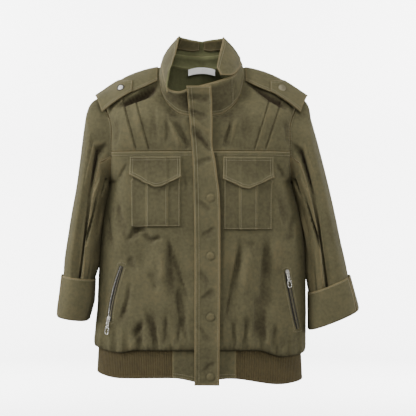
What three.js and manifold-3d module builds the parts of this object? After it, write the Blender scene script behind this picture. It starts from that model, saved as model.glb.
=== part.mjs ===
// Utility jacket with a stand collar, epaulets, chest pockets, zip pockets and a ribbed hem.
// Millimetres, +Z up. The front faces -Y and +X is the wearer's left.
// The origin is the middle of the neck base, at the height of the shoulders' high points.

import * as THREE from 'three';
import { mergeVertices } from 'three/addons/utils/BufferGeometryUtils.js';
import Module from 'manifold-3d';

// Cloth and seams
const CLOTH = 1.6;
const COLLAR_CLOTH = 2;
const TRIM_CLOTH = 1.4;
const RIB_CLOTH = 2.6;
const SEAM = 0.3;
const HALF_SEAM = SEAM / 2;

// Heights of the main seams
const YOKE_SEAM_Z = -178;
const UNDERARM_Z = -238;
const NECK_FRONT_Z = -110;
const COLLAR_TOP_Z = -51;

// How square the body's sections are, 2 being an ellipse, and how they turn in at the sides
const BODY_POWER = 2.5;
const SIDE_TURN = 40;
const SIDE_FULLNESS = 42;
const SIDE_FULLNESS_END = 150;

// The body below the yoke seam: how far down the cloth each row lies, its height,
// its half-widths to the viewer's left and right, and its depths in front and behind
const BODY_ROWS = [
  { drop: 0, z: -178, left: 181, right: 178, front: 70, back: 60 },
  { drop: 60, z: -238, left: 188, right: 184, front: 71, back: 61 },
  { drop: 84, z: -262, left: 193, right: 190, front: 71, back: 61 },
  { drop: 122, z: -300, left: 199, right: 200, front: 70, back: 60 },
  { drop: 162, z: -340, left: 204, right: 208, front: 68, back: 59 },
  { drop: 202, z: -380, left: 208, right: 212, front: 67, back: 58 },
  { drop: 252, z: -430, left: 211, right: 213.5, front: 66, back: 58 },
  { drop: 312, z: -490, left: 213, right: 213.5, front: 66, back: 58 },
  { drop: 352, z: -530, left: 217, right: 213.5, front: 66, back: 58 },
  { drop: 384, z: -562, left: 219, right: 213, front: 65, back: 57 },
  { drop: 397, z: -575, left: 217, right: 210, front: 61, back: 54 },
  { drop: 401, z: -576.5, left: 214, right: 207, front: 57, back: 51 },
  { drop: 406, z: -573, left: 212, right: 205, front: 55, back: 50 },
];

// The wearer's right armhole, from the shoulder tip round the front; the other one mirrors it
const ARMHOLE_ROWS = [
  { angle: 0, x: -203, y: 5, z: -62 },
  { angle: 30, x: -193, y: -20, z: -90 },
  { angle: 60, x: -181, y: -38, z: -122 },
  { angle: 90, x: -180, y: -44, z: -160 },
  { angle: 120, x: -181, y: -41, z: -198 },
  { angle: 150, x: -184, y: -25, z: -228 },
  { angle: 180, x: -188, y: 0, z: -238 },
  { angle: 210, x: -187, y: 26, z: -228 },
  { angle: 240, x: -186, y: 42, z: -198 },
  { angle: 270, x: -188, y: 46, z: -158 },
  { angle: 300, x: -193, y: 40, z: -118 },
  { angle: 330, x: -199, y: 25, z: -84 },
];
const ARMHOLE_STEP = 30;
const LEFT_ARMHOLE_IN = 3;
const ARMHOLE_MIDDLE = { y: 0, z: -150 };

// The neck seam and the edges of the stand and the leaf, from the centre back round to the front.
// "span" runs from 0 at the centre back to 1 at the front, and the shoulder seam is at SHOULDER_SPAN.
const SHOULDER_SPAN = 0.4;
const NECK_ROWS = [
  { span: 0, x: 0, y: 50, z: -2 },
  { span: 0.13, x: 31, y: 47, z: 0 },
  { span: 0.26, x: 60, y: 36, z: 4 },
  { span: 0.4, x: 82, y: 12, z: 0 },
  { span: 0.52, x: 85, y: -12, z: -28 },
  { span: 0.64, x: 79, y: -34, z: -60 },
  { span: 0.76, x: 63, y: -51, z: -88 },
  { span: 0.88, x: 38, y: -62, z: -105 },
  { span: 1, x: 6, y: -66, z: -110 },
];
const STAND_TOP_RIGHT_ARM = [
  { span: 0, x: 0, y: 45, z: 24 },
  { span: 0.13, x: 29, y: 42, z: 26 },
  { span: 0.26, x: 55, y: 31, z: 28 },
  { span: 0.4, x: 73, y: 6, z: 23 },
  { span: 0.52, x: 77, y: -22, z: 0 },
  { span: 0.64, x: 73, y: -50, z: -32 },
  { span: 0.76, x: 64, y: -72, z: -56 },
  { span: 0.88, x: 44, y: -81, z: -61 },
  { span: 1, x: 15.5, y: -82, z: -51 },
];
const STAND_TOP_LEFT_ARM = [
  { span: 0, x: 0, y: 45, z: 24 },
  { span: 0.13, x: 29, y: 42, z: 26 },
  { span: 0.26, x: 55, y: 31, z: 28 },
  { span: 0.4, x: 73, y: 6, z: 23 },
  { span: 0.52, x: 76, y: -22, z: 2 },
  { span: 0.64, x: 70, y: -46, z: -18 },
  { span: 0.76, x: 60, y: -66, z: -29 },
  { span: 0.88, x: 34, y: -79, z: -39 },
  { span: 1, x: -8.5, y: -82, z: -51 },
];

// The leaf: its lower edge leaves the stand past "joined" and hangs free, with a rounded end
const LEAF_RIGHT_ARM = [
  { span: 0, topX: 0, topY: 36, topZ: 55, footX: 0, footY: 45, footZ: 24 },
  { span: 0.13, topX: 24, topY: 33, topZ: 59, footX: 29, footY: 42, footZ: 26 },
  { span: 0.26, topX: 42, topY: 22, topZ: 62, footX: 55, footY: 31, footZ: 28 },
  { span: 0.4, topX: 44, topY: -2, topZ: 60, footX: 73, footY: 6, footZ: 23 },
  { span: 0.52, topX: 47, topY: -24, topZ: 40, footX: 77, footY: -22, footZ: 0 },
  { span: 0.64, topX: 54, topY: -44, topZ: 10, footX: 73.5, footY: -50, footZ: -31 },
  { span: 0.76, topX: 62, topY: -62, topZ: -20, footX: 66, footY: -72, footZ: -54 },
  { span: 0.84, topX: 70, topY: -74, topZ: -42, footX: 66, footY: -80, footZ: -62 },
];
const LEAF_LEFT_ARM = [
  { span: 0, topX: 0, topY: 36, topZ: 55, footX: 0, footY: 45, footZ: 24 },
  { span: 0.13, topX: 24, topY: 33, topZ: 59, footX: 29, footY: 42, footZ: 26 },
  { span: 0.26, topX: 43, topY: 22, topZ: 60, footX: 55, footY: 31, footZ: 28 },
  { span: 0.4, topX: 43, topY: -2, topZ: 58, footX: 73, footY: 6, footZ: 23 },
  { span: 0.52, topX: 42, topY: -24, topZ: 46, footX: 76, footY: -22, footZ: 2 },
  { span: 0.64, topX: 38, topY: -46, topZ: 26, footX: 70.5, footY: -50, footZ: -17 },
  { span: 0.76, topX: 33, topY: -66, topZ: 4, footX: 56, footY: -76, footZ: -29 },
  { span: 0.84, topX: 30, topY: -80, topZ: -14, footX: 38, footY: -88, footZ: -30 },
];
const LEAF_LIFT = COLLAR_CLOTH + 2 * SEAM;
const LEAF_END = 0.84;
const LEAF_LAP = 4;
const COLLAR_SPANS = [0, 0.1, 0.2, 0.3, 0.4, 0.486, 0.571, 0.657, 0.743, 0.829, 0.914, 1];
const LEAF_SPANS = [0, 0.1, 0.2, 0.25, 0.3, 0.35, 0.4, 0.486, 0.571, 0.657, 0.743, 0.8, LEAF_END];
const TAB_SPANS = [0.022, 0.04, 0.065, 0.1, 0.2, 0.25];
const TAB_FOLD = { foot: 0.42, top: 0.96, corner: 0.09, inset: 0.4 };

// The shoulder seam, from the neck out to the tip
const SHOULDER_ROWS = [
  { along: 0, x: 82, y: 12, z: 0 },
  { along: 0.28, x: 115, y: 11, z: -8 },
  { along: 0.55, x: 147, y: 9, z: -20 },
  { along: 0.8, x: 178, y: 7, z: -37 },
  { along: 1, x: 203, y: 5, z: -62 },
];

// The placket's two edges, by depth below the shoulders
const PLACKET_ROWS = [
  { down: 51, left: -29, right: 19.5 },
  { down: 131, left: -22, right: 22 },
  { down: 165, left: -19, right: 21.5 },
  { down: 196, left: -17, right: 27.3 },
  { down: 223, left: -16, right: 30.8 },
  { down: 266, left: -15, right: 36 },
  { down: 318, left: -14, right: 37.5 },
  { down: 398, left: -13.3, right: 37.5 },
  { down: 530, left: -13.5, right: 36.5 },
  { down: 646, left: -13.7, right: 35.5 },
];
const PLACKET_MIDDLE_X = 11;
const ZIP_FROM_PLACKET_EDGE = 17;
const ZIP_HALF_WIDTH = 3.2;

// The placket's face: how far it stands in front of the middle plane, and how much its free edge lifts
const PLACKET_FACE_ROWS = [
  { down: 51, face: 93.5, lift: 3 },
  { down: 80, face: 84, lift: 6 },
  { down: 110, face: 76.5, lift: 8 },
  { down: 145, face: 74, lift: 6 },
  { down: 178, face: 73.5, lift: 1.5 },
  { down: 238, face: 74.5, lift: 0.5 },
  { down: 300, face: 73.5, lift: 0.5 },
  { down: 380, face: 70.5, lift: 0.5 },
  { down: 490, face: 69.5, lift: 0.5 },
  { down: 562, face: 69.2, lift: 0.5 },
  { down: 600, face: 66, lift: 0.5 },
  { down: 646, face: 62.5, lift: 0.5 },
];

// Sleeve sections, from the armhole down: the outer and inner points of the silhouette,
// and the half-depth from front to back
const RIGHT_ARM_SECTIONS = [
  { outX: 236, outZ: -100, inX: 190.5, inZ: -243, depth: 50 },
  { outX: 243, outZ: -150, inX: 194, inZ: -256, depth: 55 },
  { outX: 250, outZ: -205, inX: 200.5, inZ: -282, depth: 57 },
  { outX: 257, outZ: -255, inX: 205.5, inZ: -312, depth: 57 },
  { outX: 266, outZ: -302, inX: 209, inZ: -342, depth: 57 },
  { outX: 273, outZ: -345, inX: 212.5, inZ: -374, depth: 56 },
  { outX: 280, outZ: -396, inX: 216, inZ: -410, depth: 55 },
  { outX: 283, outZ: -432, inX: 220, inZ: -438, depth: 54 },
  { outX: 288, outZ: -470, inX: 223, inZ: -478, depth: 53 },
  { outX: 291.9, outZ: -495.3, inX: 229.2, inZ: -505.2, depth: 53 },
];
const LEFT_ARM_SECTIONS = [
  { outX: 224, outZ: -108, inX: 187, inZ: -243, depth: 50 },
  { outX: 236, outZ: -152, inX: 192, inZ: -256, depth: 54 },
  { outX: 250, outZ: -205, inX: 200, inZ: -284, depth: 55 },
  { outX: 261, outZ: -250, inX: 207.5, inZ: -318, depth: 55 },
  { outX: 272, outZ: -300, inX: 214, inZ: -352, depth: 54 },
  { outX: 283, outZ: -350, inX: 217.5, inZ: -388, depth: 52 },
  { outX: 295, outZ: -403, inX: 219.5, inZ: -432, depth: 50 },
  { outX: 302, outZ: -438, inX: 221.5, inZ: -470, depth: 49 },
  { outX: 311, outZ: -462, inX: 221.5, inZ: -497, depth: 49 },
  { outX: 317.1, outZ: -485.3, inX: 221, inZ: -523.4, depth: 49.3 },
];
const RIGHT_ARM_CUFF = [
  { outX: 286.2, outZ: -427, inX: 216.8, inZ: -436, depth: 58.2 },
  { outX: 292, outZ: -468, inX: 218.8, inZ: -478, depth: 58 },
  { outX: 297, outZ: -511, inX: 230, inZ: -521, depth: 56 },
];
const LEFT_ARM_CUFF = [
  { outX: 304.3, outZ: -428, inX: 217.5, inZ: -464, depth: 52.3 },
  { outX: 315, outZ: -464, inX: 217.5, inZ: -503, depth: 53 },
  { outX: 323.5, outZ: -498, inX: 217.5, inZ: -541, depth: 53 },
];
const SLEEVE_SQUARENESS = 2.2;
const SLEEVE_HEAD = 9;
const SLEEVE_FRONT_SEAM = 112;
const SLEEVE_BACK_SEAM_TOP = -75;
const RIGHT_ARM_BACK_SEAM_FOOT = 48;
const LEFT_ARM_BACK_SEAM_FOOT = 5;
const CUFF_SLIT = 33;
const CUFF_SLIT_HALF_GAP = 1.3;

// Long soft folds. A negative depth is a trough, and "reach" is how wide the fold spreads.
const FRONT_FOLDS = [
  { fromX: 78, fromZ: -345, toX: 47, toZ: -530, reach: 15, depth: -5 },
  { fromX: 124, fromZ: -342, toX: 127, toZ: -520, reach: 19, depth: -5 },
  { fromX: 98, fromZ: -350, toX: 92, toZ: -545, reach: 16, depth: 4 },
  { fromX: 160, fromZ: -250, toX: 152, toZ: -400, reach: 16, depth: 3.5 },
  { fromX: -58, fromZ: -345, toX: -28, toZ: -510, reach: 16, depth: -5 },
  { fromX: -86, fromZ: -345, toX: -60, toZ: -540, reach: 17, depth: 4 },
  { fromX: -112, fromZ: -340, toX: -118, toZ: -430, reach: 14, depth: -3.5 },
  { fromX: -162, fromZ: -250, toX: -152, toZ: -390, reach: 16, depth: 3.5 },
];
const BACK_FOLDS = [
  { fromX: -118, fromZ: -170, toX: -78, toZ: -520, reach: 22, depth: -5 },
  { fromX: -66, fromZ: -240, toX: -38, toZ: -540, reach: 18, depth: 4 },
  { fromX: 8, fromZ: -260, toX: 2, toZ: -530, reach: 20, depth: -4 },
  { fromX: 60, fromZ: -220, toX: 50, toZ: -540, reach: 18, depth: 4 },
  { fromX: 122, fromZ: -180, toX: 92, toZ: -530, reach: 22, depth: -5 },
];
const SLEEVE_FOLDS = [
  { angle: 96, from: 0.1, to: 0.95, reach: 17, depth: -8 },
  { angle: 66, from: 0.05, to: 0.8, reach: 15, depth: 3 },
  { angle: 262, from: 0.15, to: 0.9, reach: 22, depth: -6 },
  { angle: 150, from: 0.3, to: 0.85, reach: 16, depth: -4 },
];

// The gathered edge hangs lower towards the sides
const SAG_ROWS = [
  { x: -215, sag: -3 },
  { x: -165, sag: 6 },
  { x: -130, sag: 0 },
  { x: 110, sag: 0 },
  { x: 165, sag: 14 },
  { x: 215, sag: 9 },
];
const SAG_FROM = 357;
const SAG_TO = 392;

// Gathers above the ribbed hem
const GATHER_PITCH = 26;
const GATHER_DEPTH = 2.4;
const GATHER_RISE = 60;

// The ribbed hem and its woven ends: "side" runs from 0 at the centre to 1 at the side
const HEM_ROWS = [
  { side: 0, rightFoot: -642, leftFoot: -641 },
  { side: 0.25, rightFoot: -632, leftFoot: -633 },
  { side: 0.7, rightFoot: -634, leftFoot: -646 },
  { side: 1, rightFoot: -622, leftFoot: -638 },
];
const HEM_BACK_FOOT = -634;
const HEM_TOP_Z = -570.5;
const HEM_DEPTH = { front: 54.2, back: 49.2 };
const HEM_HALF_WIDTH = { left: 211, right: 204 };
const HEM_FLARE = 3;
const HEM_END_LEFT_X = -57;
const HEM_END_RIGHT_X = 68.5;

// Chest pockets: a patch with a box pleat, and a pointed flap over it
const CHEST_POCKETS = [
  {
    name: 'right_chest', inner: -42, outer: -140, top: -190, pointX: -86,
    pointZ: -252, innerZ: -229, outerZ: -223.5, foot: -328, pleats: [-108, -68],
  },
  {
    name: 'left_chest', inner: 45, outer: 141, top: -191, pointX: 90,
    pointZ: -255, innerZ: -232, outerZ: -230, foot: -334, pleats: [77, 111],
  },
];
const PLEAT_RAISE = 1.5;
const PLEAT_EDGE = 1.6;
const FLAP_OVERHANG = 2;
const POCKET_GAP = 0.6;

// Zip pockets: the line of the teeth down the front, and the end where the slider stands
const POCKET_ZIPS = [
  {
    name: 'right_pocket', sliderAtFoot: true,
    line: [{ x: -160, z: -408 }, { x: -172, z: -446 }, { x: -181, z: -484 }, { x: -185.5, z: -517 }],
  },
  {
    name: 'left_pocket', sliderAtFoot: false,
    line: [{ x: 171, z: -418 }, { x: 175.5, z: -445 }, { x: 184, z: -488 }, { x: 194, z: -534 }],
  },
];
const TEETH_HALF_WIDTH = 2.8;
const TEETH_HEIGHT = 1.5;

// Zip sliders: a plate over the teeth, with an arch that the pull's crossbar passes under
const SLIDER_WIDTH = 8;
const SLIDER_LENGTH = 12;
const SLIDER_PLATE = 1.4;
const ARCH_HALF_LENGTH = 3.6;
const ARCH_WIDTH = 2.4;
const ARCH_WALL = 1.2;
const PULL_AXIS_RISE = 1.35;
const PULL_THICKNESS = 1.4;
const PULL_LENGTH = 31;
const PULL_NECK_HALF_WIDTH = 3.2;
const PULL_HALF_WIDTH = 4.5;
const PULL_EYE = { halfWidth: 1.65, from: 0.7, to: 6.4 };
const PULL_WINDOW = { halfWidth: 2.6, from: 20.5, to: 28 };
const NECK_SLIDER_Z = -60;
const NECK_ZIP_FACE = 82;

// Snap fasteners
const SNAP_PROFILE = [
  { radius: 0, height: 0 },
  { radius: 6.3, height: 0 },
  { radius: 7.3, height: 0.5 },
  { radius: 7, height: 1.3 },
  { radius: 5.2, height: 2.1 },
  { radius: 2.6, height: 2.5 },
  { radius: 0, height: 2.6 },
];
const HIDDEN_SNAP_HEIGHTS = [-271, -387, -508, -628];
const HIDDEN_SNAP_X = 18.5;
const HIDDEN_SNAP_RADIUS = 7;
const HIDDEN_SNAP_HEIGHT = 0.9;

// Epaulets: a strap from the neck seam, and a tab from the sleeve head laid over its outer half
const STRAP_ROWS = [
  { along: 0, backX: 89.5, backY: 12, backZ: -0.8, midX: 90, midY: -4, midZ: -14.5,
    frontX: 90, frontY: -19, frontZ: -33 },
  { along: 0.25, backX: 112, backY: 12, backZ: -5.4, midX: 112, midY: -11, midZ: -22,
    frontX: 112, frontY: -30.5, frontZ: -45 },
  { along: 0.5, backX: 143, backY: 10, backZ: -16, midX: 143, midY: -13.5, midZ: -33,
    frontX: 143, frontY: -35, frontZ: -59 },
  { along: 0.75, backX: 176, backY: 8, backZ: -34, midX: 174, midY: -18.5, midZ: -53.5,
    frontX: 171, frontY: -42, frontZ: -77 },
  { along: 1, backX: 217, backY: 6, backZ: -62, midX: 210, midY: -18, midZ: -73,
    frontX: 199, frontY: -36, frontZ: -98 },
];
const STRAP_LIFT = { rightArm: 1.8, leftArm: 1.2 };
const STRAP_END = 0.93;
const TAB_START = 0.47;
const TAB_BACK_ROWS = [
  { along: 0.47, share: 0.56 },
  { along: 0.6, share: 0.3 },
  { along: 0.72, share: 0 },
  { along: 1, share: 0 },
];
const EPAULET_SNAP = { along: 0.66, share: 0.6 };

// Neck label, left blank
const LABEL = { halfWidth: 28, top: 1, foot: -12, thickness: 0.7, inset: 2.5, arch: 2.5 };

// Colours
const CLOTH_COLOUR = 0x6a6147;
const RIB_COLOUR = 0x584d36;
const METAL_COLOUR = 0xb9b6ae;
const LABEL_COLOUR = 0xeeeae0;

const clothMaterial = new THREE.MeshStandardMaterial({ color: CLOTH_COLOUR, roughness: 0.9, metalness: 0 });
const ribMaterial = new THREE.MeshStandardMaterial({ color: RIB_COLOUR, roughness: 0.95, metalness: 0 });
const metalMaterial = new THREE.MeshStandardMaterial({ color: METAL_COLOUR, roughness: 0.35, metalness: 1 });
const labelMaterial = new THREE.MeshStandardMaterial({ color: LABEL_COLOUR, roughness: 0.8, metalness: 0 });

const jacket = new THREE.Group();
jacket.name = 'utility_jacket';

function addMesh(name, geometry, material) {
  const mesh = new THREE.Mesh(geometry, material);
  mesh.name = name;
  jacket.add(mesh);
  return mesh;
}

// Small helpers for tables, splines and directions
const vec = (x, y, z) => new THREE.Vector3(x, y, z);
const mix = (a, b, t) => a + (b - a) * t;
const clamp = (t, low, high) => Math.min(high, Math.max(low, t));
const smooth = (low, high, t) => {
  const s = clamp((t - low) / (high - low), 0, 1);
  return s * s * (3 - 2 * s);
};
const radians = (degrees) => (degrees * Math.PI) / 180;

// A smooth curve through one column of a table, which never overshoots its rows
function columnCurve(rows, key, name) {
  const xs = rows.map((row) => row[key]);
  const ys = rows.map((row) => row[name]);
  const last = xs.length - 1;
  const slopes = [];
  for (let i = 0; i < last; i += 1) {
    slopes.push((ys[i + 1] - ys[i]) / (xs[i + 1] - xs[i]));
  }
  const tangents = [slopes[0]];
  for (let i = 1; i < last; i += 1) {
    const before = slopes[i - 1];
    const after = slopes[i];
    tangents.push(before * after <= 0 ? 0 : (2 * before * after) / (before + after));
  }
  tangents.push(slopes[last - 1]);
  return (at) => {
    const x = clamp(at, xs[0], xs[last]);
    let i = 0;
    while (i < last - 1 && x > xs[i + 1]) {
      i += 1;
    }
    const h = xs[i + 1] - xs[i];
    const t = (x - xs[i]) / h;
    const a = (1 + 2 * t) * (1 - t) * (1 - t);
    const b = t * (1 - t) * (1 - t);
    const c = t * t * (3 - 2 * t);
    const d = t * t * (t - 1);
    return a * ys[i] + b * h * tangents[i] + c * ys[i + 1] + d * h * tangents[i + 1];
  };
}

function tableCurves(rows, key) {
  const curves = {};
  for (const name of Object.keys(rows[0])) {
    if (name !== key) {
      curves[name] = columnCurve(rows, key, name);
    }
  }
  return curves;
}

// A Catmull-Rom curve through points, at a position counted in points
function splinePoint(points, position, closed) {
  const count = points.length;
  const whole = Math.floor(position);
  const t = position - whole;
  const pick = (i) => {
    if (closed) {
      return points[((i % count) + count) % count];
    }
    return points[clamp(i, 0, count - 1)];
  };
  const [p0, p1, p2, p3] = [pick(whole - 1), pick(whole), pick(whole + 1), pick(whole + 2)];
  const blend = (a, b, c, d) =>
    0.5 * (2 * b + (c - a) * t + (2 * a - 5 * b + 4 * c - d) * t * t + (3 * b - a - 3 * c + d) * t * t * t);
  return vec(
    blend(p0.x, p1.x, p2.x, p3.x),
    blend(p0.y, p1.y, p2.y, p3.y),
    blend(p0.z, p1.z, p2.z, p3.z),
  );
}

function spread(from, to, steps) {
  const values = [];
  for (let i = 0; i <= steps; i += 1) {
    values.push(mix(from, to, i / steps));
  }
  return values;
}

// How far a point at (x, z) is pushed out by a list of folds
function foldHeight(folds, x, z) {
  let height = 0;
  for (const fold of folds) {
    const alongX = fold.toX - fold.fromX;
    const alongZ = fold.toZ - fold.fromZ;
    const lengthSquared = alongX * alongX + alongZ * alongZ;
    const raw = ((x - fold.fromX) * alongX + (z - fold.fromZ) * alongZ) / lengthSquared;
    const t = clamp(raw, 0, 1);
    const distance = Math.hypot(x - fold.fromX - alongX * t, z - fold.fromZ - alongZ * t);
    const across = clamp(1 - distance / (1.6 * fold.reach), 0, 1);
    const ends = smooth(0, 0.25, t) * smooth(0, 0.2, 1 - t);
    height += fold.depth * across * across * (3 - 2 * across) * ends;
  }
  return height;
}

// A thin wall over a surface: "lift" moves its outer face out, and the wall lies behind that face
function wallGeometry(surface, us, vs, options) {
  const { thickness, lift = 0, closed = false, outward, edgeNormal } = options;
  const step = 1e-3;
  const columns = us.length;
  const positions = [];
  const normalAt = (u, v) => {
    const uLow = closed ? u - step : Math.max(us[0], u - step);
    const uHigh = closed ? u + step : Math.min(us[columns - 1], u + step);
    const vLow = Math.max(vs[0], v - step);
    const vHigh = Math.min(vs[vs.length - 1], v + step);
    const du = surface(uHigh, v).sub(surface(uLow, v));
    const dv = surface(u, vHigh).sub(surface(u, vLow));
    const normal = du.cross(dv).normalize();
    const point = surface(u, v);
    return normal.dot(outward(point)) < 0 ? normal.negate() : normal;
  };
  const outer = [];
  const inner = [];
  vs.forEach((v, row) => {
    us.forEach((u, column) => {
      const point = surface(u, v);
      let normal = normalAt(u, v);
      if (edgeNormal) {
        normal = edgeNormal({ point, normal, row, column, rows: vs.length, columns }) || normal;
      }
      outer.push(point.clone().addScaledVector(normal, lift));
      inner.push(point.clone().addScaledVector(normal, lift - thickness));
    });
  });
  for (const point of outer.concat(inner)) {
    positions.push(point.x, point.y, point.z);
  }
  const offset = outer.length;
  const at = (row, column) => row * columns + (column % columns);
  const index = [];
  const quad = (a, b, c, d) => index.push(a, b, c, a, c, d);
  const lastColumn = closed ? columns : columns - 1;
  for (let row = 0; row < vs.length - 1; row += 1) {
    for (let column = 0; column < lastColumn; column += 1) {
      const a = at(row, column);
      const b = at(row, column + 1);
      const c = at(row + 1, column + 1);
      const d = at(row + 1, column);
      quad(a, b, c, d);
      quad(offset + a, offset + d, offset + c, offset + b);
    }
  }
  for (let column = 0; column < lastColumn; column += 1) {
    const a = at(0, column);
    const b = at(0, column + 1);
    quad(a, offset + a, offset + b, b);
    const c = at(vs.length - 1, column);
    const d = at(vs.length - 1, column + 1);
    quad(c, d, offset + d, offset + c);
  }
  if (!closed) {
    for (let row = 0; row < vs.length - 1; row += 1) {
      const a = at(row, 0);
      const b = at(row + 1, 0);
      quad(a, b, offset + b, offset + a);
      const c = at(row, columns - 1);
      const d = at(row + 1, columns - 1);
      quad(c, offset + c, offset + d, d);
    }
  }
  return faceOut(positions, index);
}

// Turns a closed mesh so that its faces point outwards
function faceOut(positions, index) {
  let volume = 0;
  const point = (i) => vec(positions[3 * i], positions[3 * i + 1], positions[3 * i + 2]);
  for (let i = 0; i < index.length; i += 3) {
    volume += point(index[i]).dot(point(index[i + 1]).cross(point(index[i + 2])));
  }
  if (volume < 0) {
    for (let i = 0; i < index.length; i += 3) {
      [index[i + 1], index[i + 2]] = [index[i + 2], index[i + 1]];
    }
  }
  const geometry = new THREE.BufferGeometry();
  geometry.setAttribute('position', new THREE.Float32BufferAttribute(positions, 3));
  geometry.setIndex(index);
  return geometry;
}

// The armholes. "side" is -1 at the viewer's left and 1 at the viewer's right.
function armholePoint(side, angle) {
  const point = splinePoint(ARMHOLE_ROWS, angle / ARMHOLE_STEP, true);
  if (side > 0) {
    point.x = -point.x - LEFT_ARMHOLE_IN;
  }
  return point;
}

function armholeAngleAt(z, inFront) {
  let low = inFront ? 0 : 360;
  let high = 180;
  for (let i = 0; i < 40; i += 1) {
    const middle = (low + high) / 2;
    if (armholePoint(-1, middle).z > z) {
      low = middle;
    } else {
      high = middle;
    }
  }
  return (low + high) / 2;
}

function armholeNormal(point) {
  return vec(0, point.y - ARMHOLE_MIDDLE.y, point.z - ARMHOLE_MIDDLE.z).normalize();
}

const body = tableCurves(BODY_ROWS, 'drop');
const placket = tableCurves(PLACKET_ROWS, 'down');
const zipX = (z) => placket.left(-z) + ZIP_FROM_PLACKET_EDGE;

// Half of a body section, from the centre to the side seam or the armhole.
// "edge" is its depth at that side, and "fullness" the depth that the rest of it turns towards.
function sectionShape(side, inFront, drop) {
  const z = body.z(drop);
  const depth = inFront ? body.front(drop) : body.back(drop);
  const fullness = SIDE_FULLNESS * (1 - smooth(0, SIDE_FULLNESS_END, drop));
  if (drop < -UNDERARM_Z + YOKE_SEAM_Z) {
    const edge = armholePoint(side, armholeAngleAt(z, inFront));
    return { z, width: Math.abs(edge.x), depth, edge: Math.abs(edge.y), fullness };
  }
  return { z, width: side < 0 ? body.left(drop) : body.right(drop), depth, edge: HALF_SEAM, fullness };
}

const ARC_STEPS = 48;
const arcCache = new Map();

function sectionArc(side, inFront, drop) {
  const key = `${side} ${inFront} ${drop.toFixed(4)}`;
  if (!arcCache.has(key)) {
    const shape = sectionShape(side, inFront, drop);
    const arc = [{ x: 0, y: shape.depth, length: 0 }];
    for (let i = 1; i <= ARC_STEPS; i += 1) {
      const theta = (Math.PI / 2) * (i / ARC_STEPS);
      const x = shape.width * Math.sin(theta) ** (2 / BODY_POWER);
      const across = i === ARC_STEPS ? 0 : Math.cos(theta) ** (2 / BODY_POWER);
      const turn = clamp(1 - (shape.width - x) / SIDE_TURN, 0, 1) ** 2;
      const level = mix(shape.fullness, shape.edge, turn);
      const y = level + (shape.depth - shape.fullness) * across;
      const before = arc[i - 1];
      arc.push({ x, y, length: before.length + Math.hypot(x - before.x, y - before.y) });
    }
    arcCache.set(key, { arc, shape });
  }
  return arcCache.get(key);
}

function readArc(arc, name, value) {
  let i = 1;
  while (i < arc.length - 1 && arc[i][name] < value) {
    i += 1;
  }
  const t = (value - arc[i - 1][name]) / (arc[i][name] - arc[i - 1][name]);
  return { i, t };
}

// A point of the body's outer face: "share" runs from the line at startX out to the side
function bodyPoint(side, inFront, drop, share, startX) {
  const { arc, shape } = sectionArc(side, inFront, drop);
  const signed = side * startX;
  let start = signed;
  if (signed > 0) {
    const found = readArc(arc, 'x', signed);
    start = mix(arc[found.i - 1].length, arc[found.i].length, found.t);
  }
  const length = mix(start, arc[arc.length - 1].length, share);
  let x = length;
  let y = shape.depth;
  if (length > 0) {
    const { i, t } = readArc(arc, 'length', length);
    x = mix(arc[i - 1].x, arc[i].x, t);
    y = mix(arc[i - 1].y, arc[i].y, t);
  }
  const fade = smooth(0, 12, shape.width - x);
  const folds = inFront ? FRONT_FOLDS : BACK_FOLDS;
  const rise = (foldHeight(folds, side * x, shape.z) + gatherHeight(side * x, drop)) * fade;
  const forward = y + rise;
  const sag = sagAt(side * x) * smooth(SAG_FROM, SAG_TO, drop);
  return vec(side * x, inFront ? -forward : forward, shape.z - sag);
}

const sagAt = columnCurve(SAG_ROWS, 'x', 'sag');

function gatherHeight(x, drop) {
  const rise = smooth(398 - GATHER_RISE, 386, drop) * (1 - smooth(392, 404, drop));
  const wave = Math.cos((2 * Math.PI * x) / GATHER_PITCH + 1.4 * Math.sin(x / 31));
  const centre = smooth(32, 60, Math.abs(x - PLACKET_MIDDLE_X));
  return GATHER_DEPTH * rise * wave * centre;
}

// The front's outer face at a given place, for what lies on it
function frontPoint(x, z) {
  const side = x < 0 ? -1 : 1;
  const drop = YOKE_SEAM_Z - z;
  const { arc, shape } = sectionArc(side, true, drop);
  const { i, t } = readArc(arc, 'x', Math.abs(x));
  const fade = smooth(0, 12, shape.width - Math.abs(x));
  const rise = (foldHeight(FRONT_FOLDS, x, z) + gatherHeight(x, drop)) * fade;
  return vec(x, -mix(arc[i - 1].y, arc[i].y, t) - rise, z);
}

// The seam curves round the neck and over the shoulders
const neckCurves = tableCurves(NECK_ROWS, 'span');
const shoulderCurves = tableCurves(SHOULDER_ROWS, 'along');

function neckPoint(side, span) {
  return vec(side * neckCurves.x(span), neckCurves.y(span), neckCurves.z(span));
}

// The neck seam, carried on at the front to the edge beside the zip
function neckEdge(side, span) {
  const point = neckPoint(side, span);
  const shift = frontEdgeX(side, NECK_FRONT_Z) - side * NECK_ROWS.at(-1).x;
  point.x += shift * smooth(0.88, 1, span);
  return point;
}

function neckNormal(point) {
  const up = 0.9 * Math.abs(point.x) / 85;
  return vec(point.x, point.y * 1.3, 0).normalize().add(vec(0, 0, up)).normalize();
}

function shoulderPoint(side, along) {
  const tip = Math.abs(armholePoint(side, 0).x);
  const inset = (203 - tip) * along;
  const x = side * (shoulderCurves.x(along) - inset);
  return vec(x, shoulderCurves.y(along), shoulderCurves.z(along));
}

function shoulderNormal(side) {
  return vec(side * 0.35, 0, 1).normalize();
}

// A patch between four edges that share their corners
function patch(foot, top, start, end) {
  const c00 = start(0);
  const c10 = end(0);
  const c01 = start(1);
  const c11 = end(1);
  return (u, v) => {
    const point = foot(u).multiplyScalar(1 - v).addScaledVector(top(u), v);
    point.addScaledVector(start(v), 1 - u).addScaledVector(end(v), u);
    point.addScaledVector(c00, -(1 - u) * (1 - v)).addScaledVector(c10, -u * (1 - v));
    point.addScaledVector(c01, -(1 - u) * v).addScaledVector(c11, -u * v);
    return point;
  };
}

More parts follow.
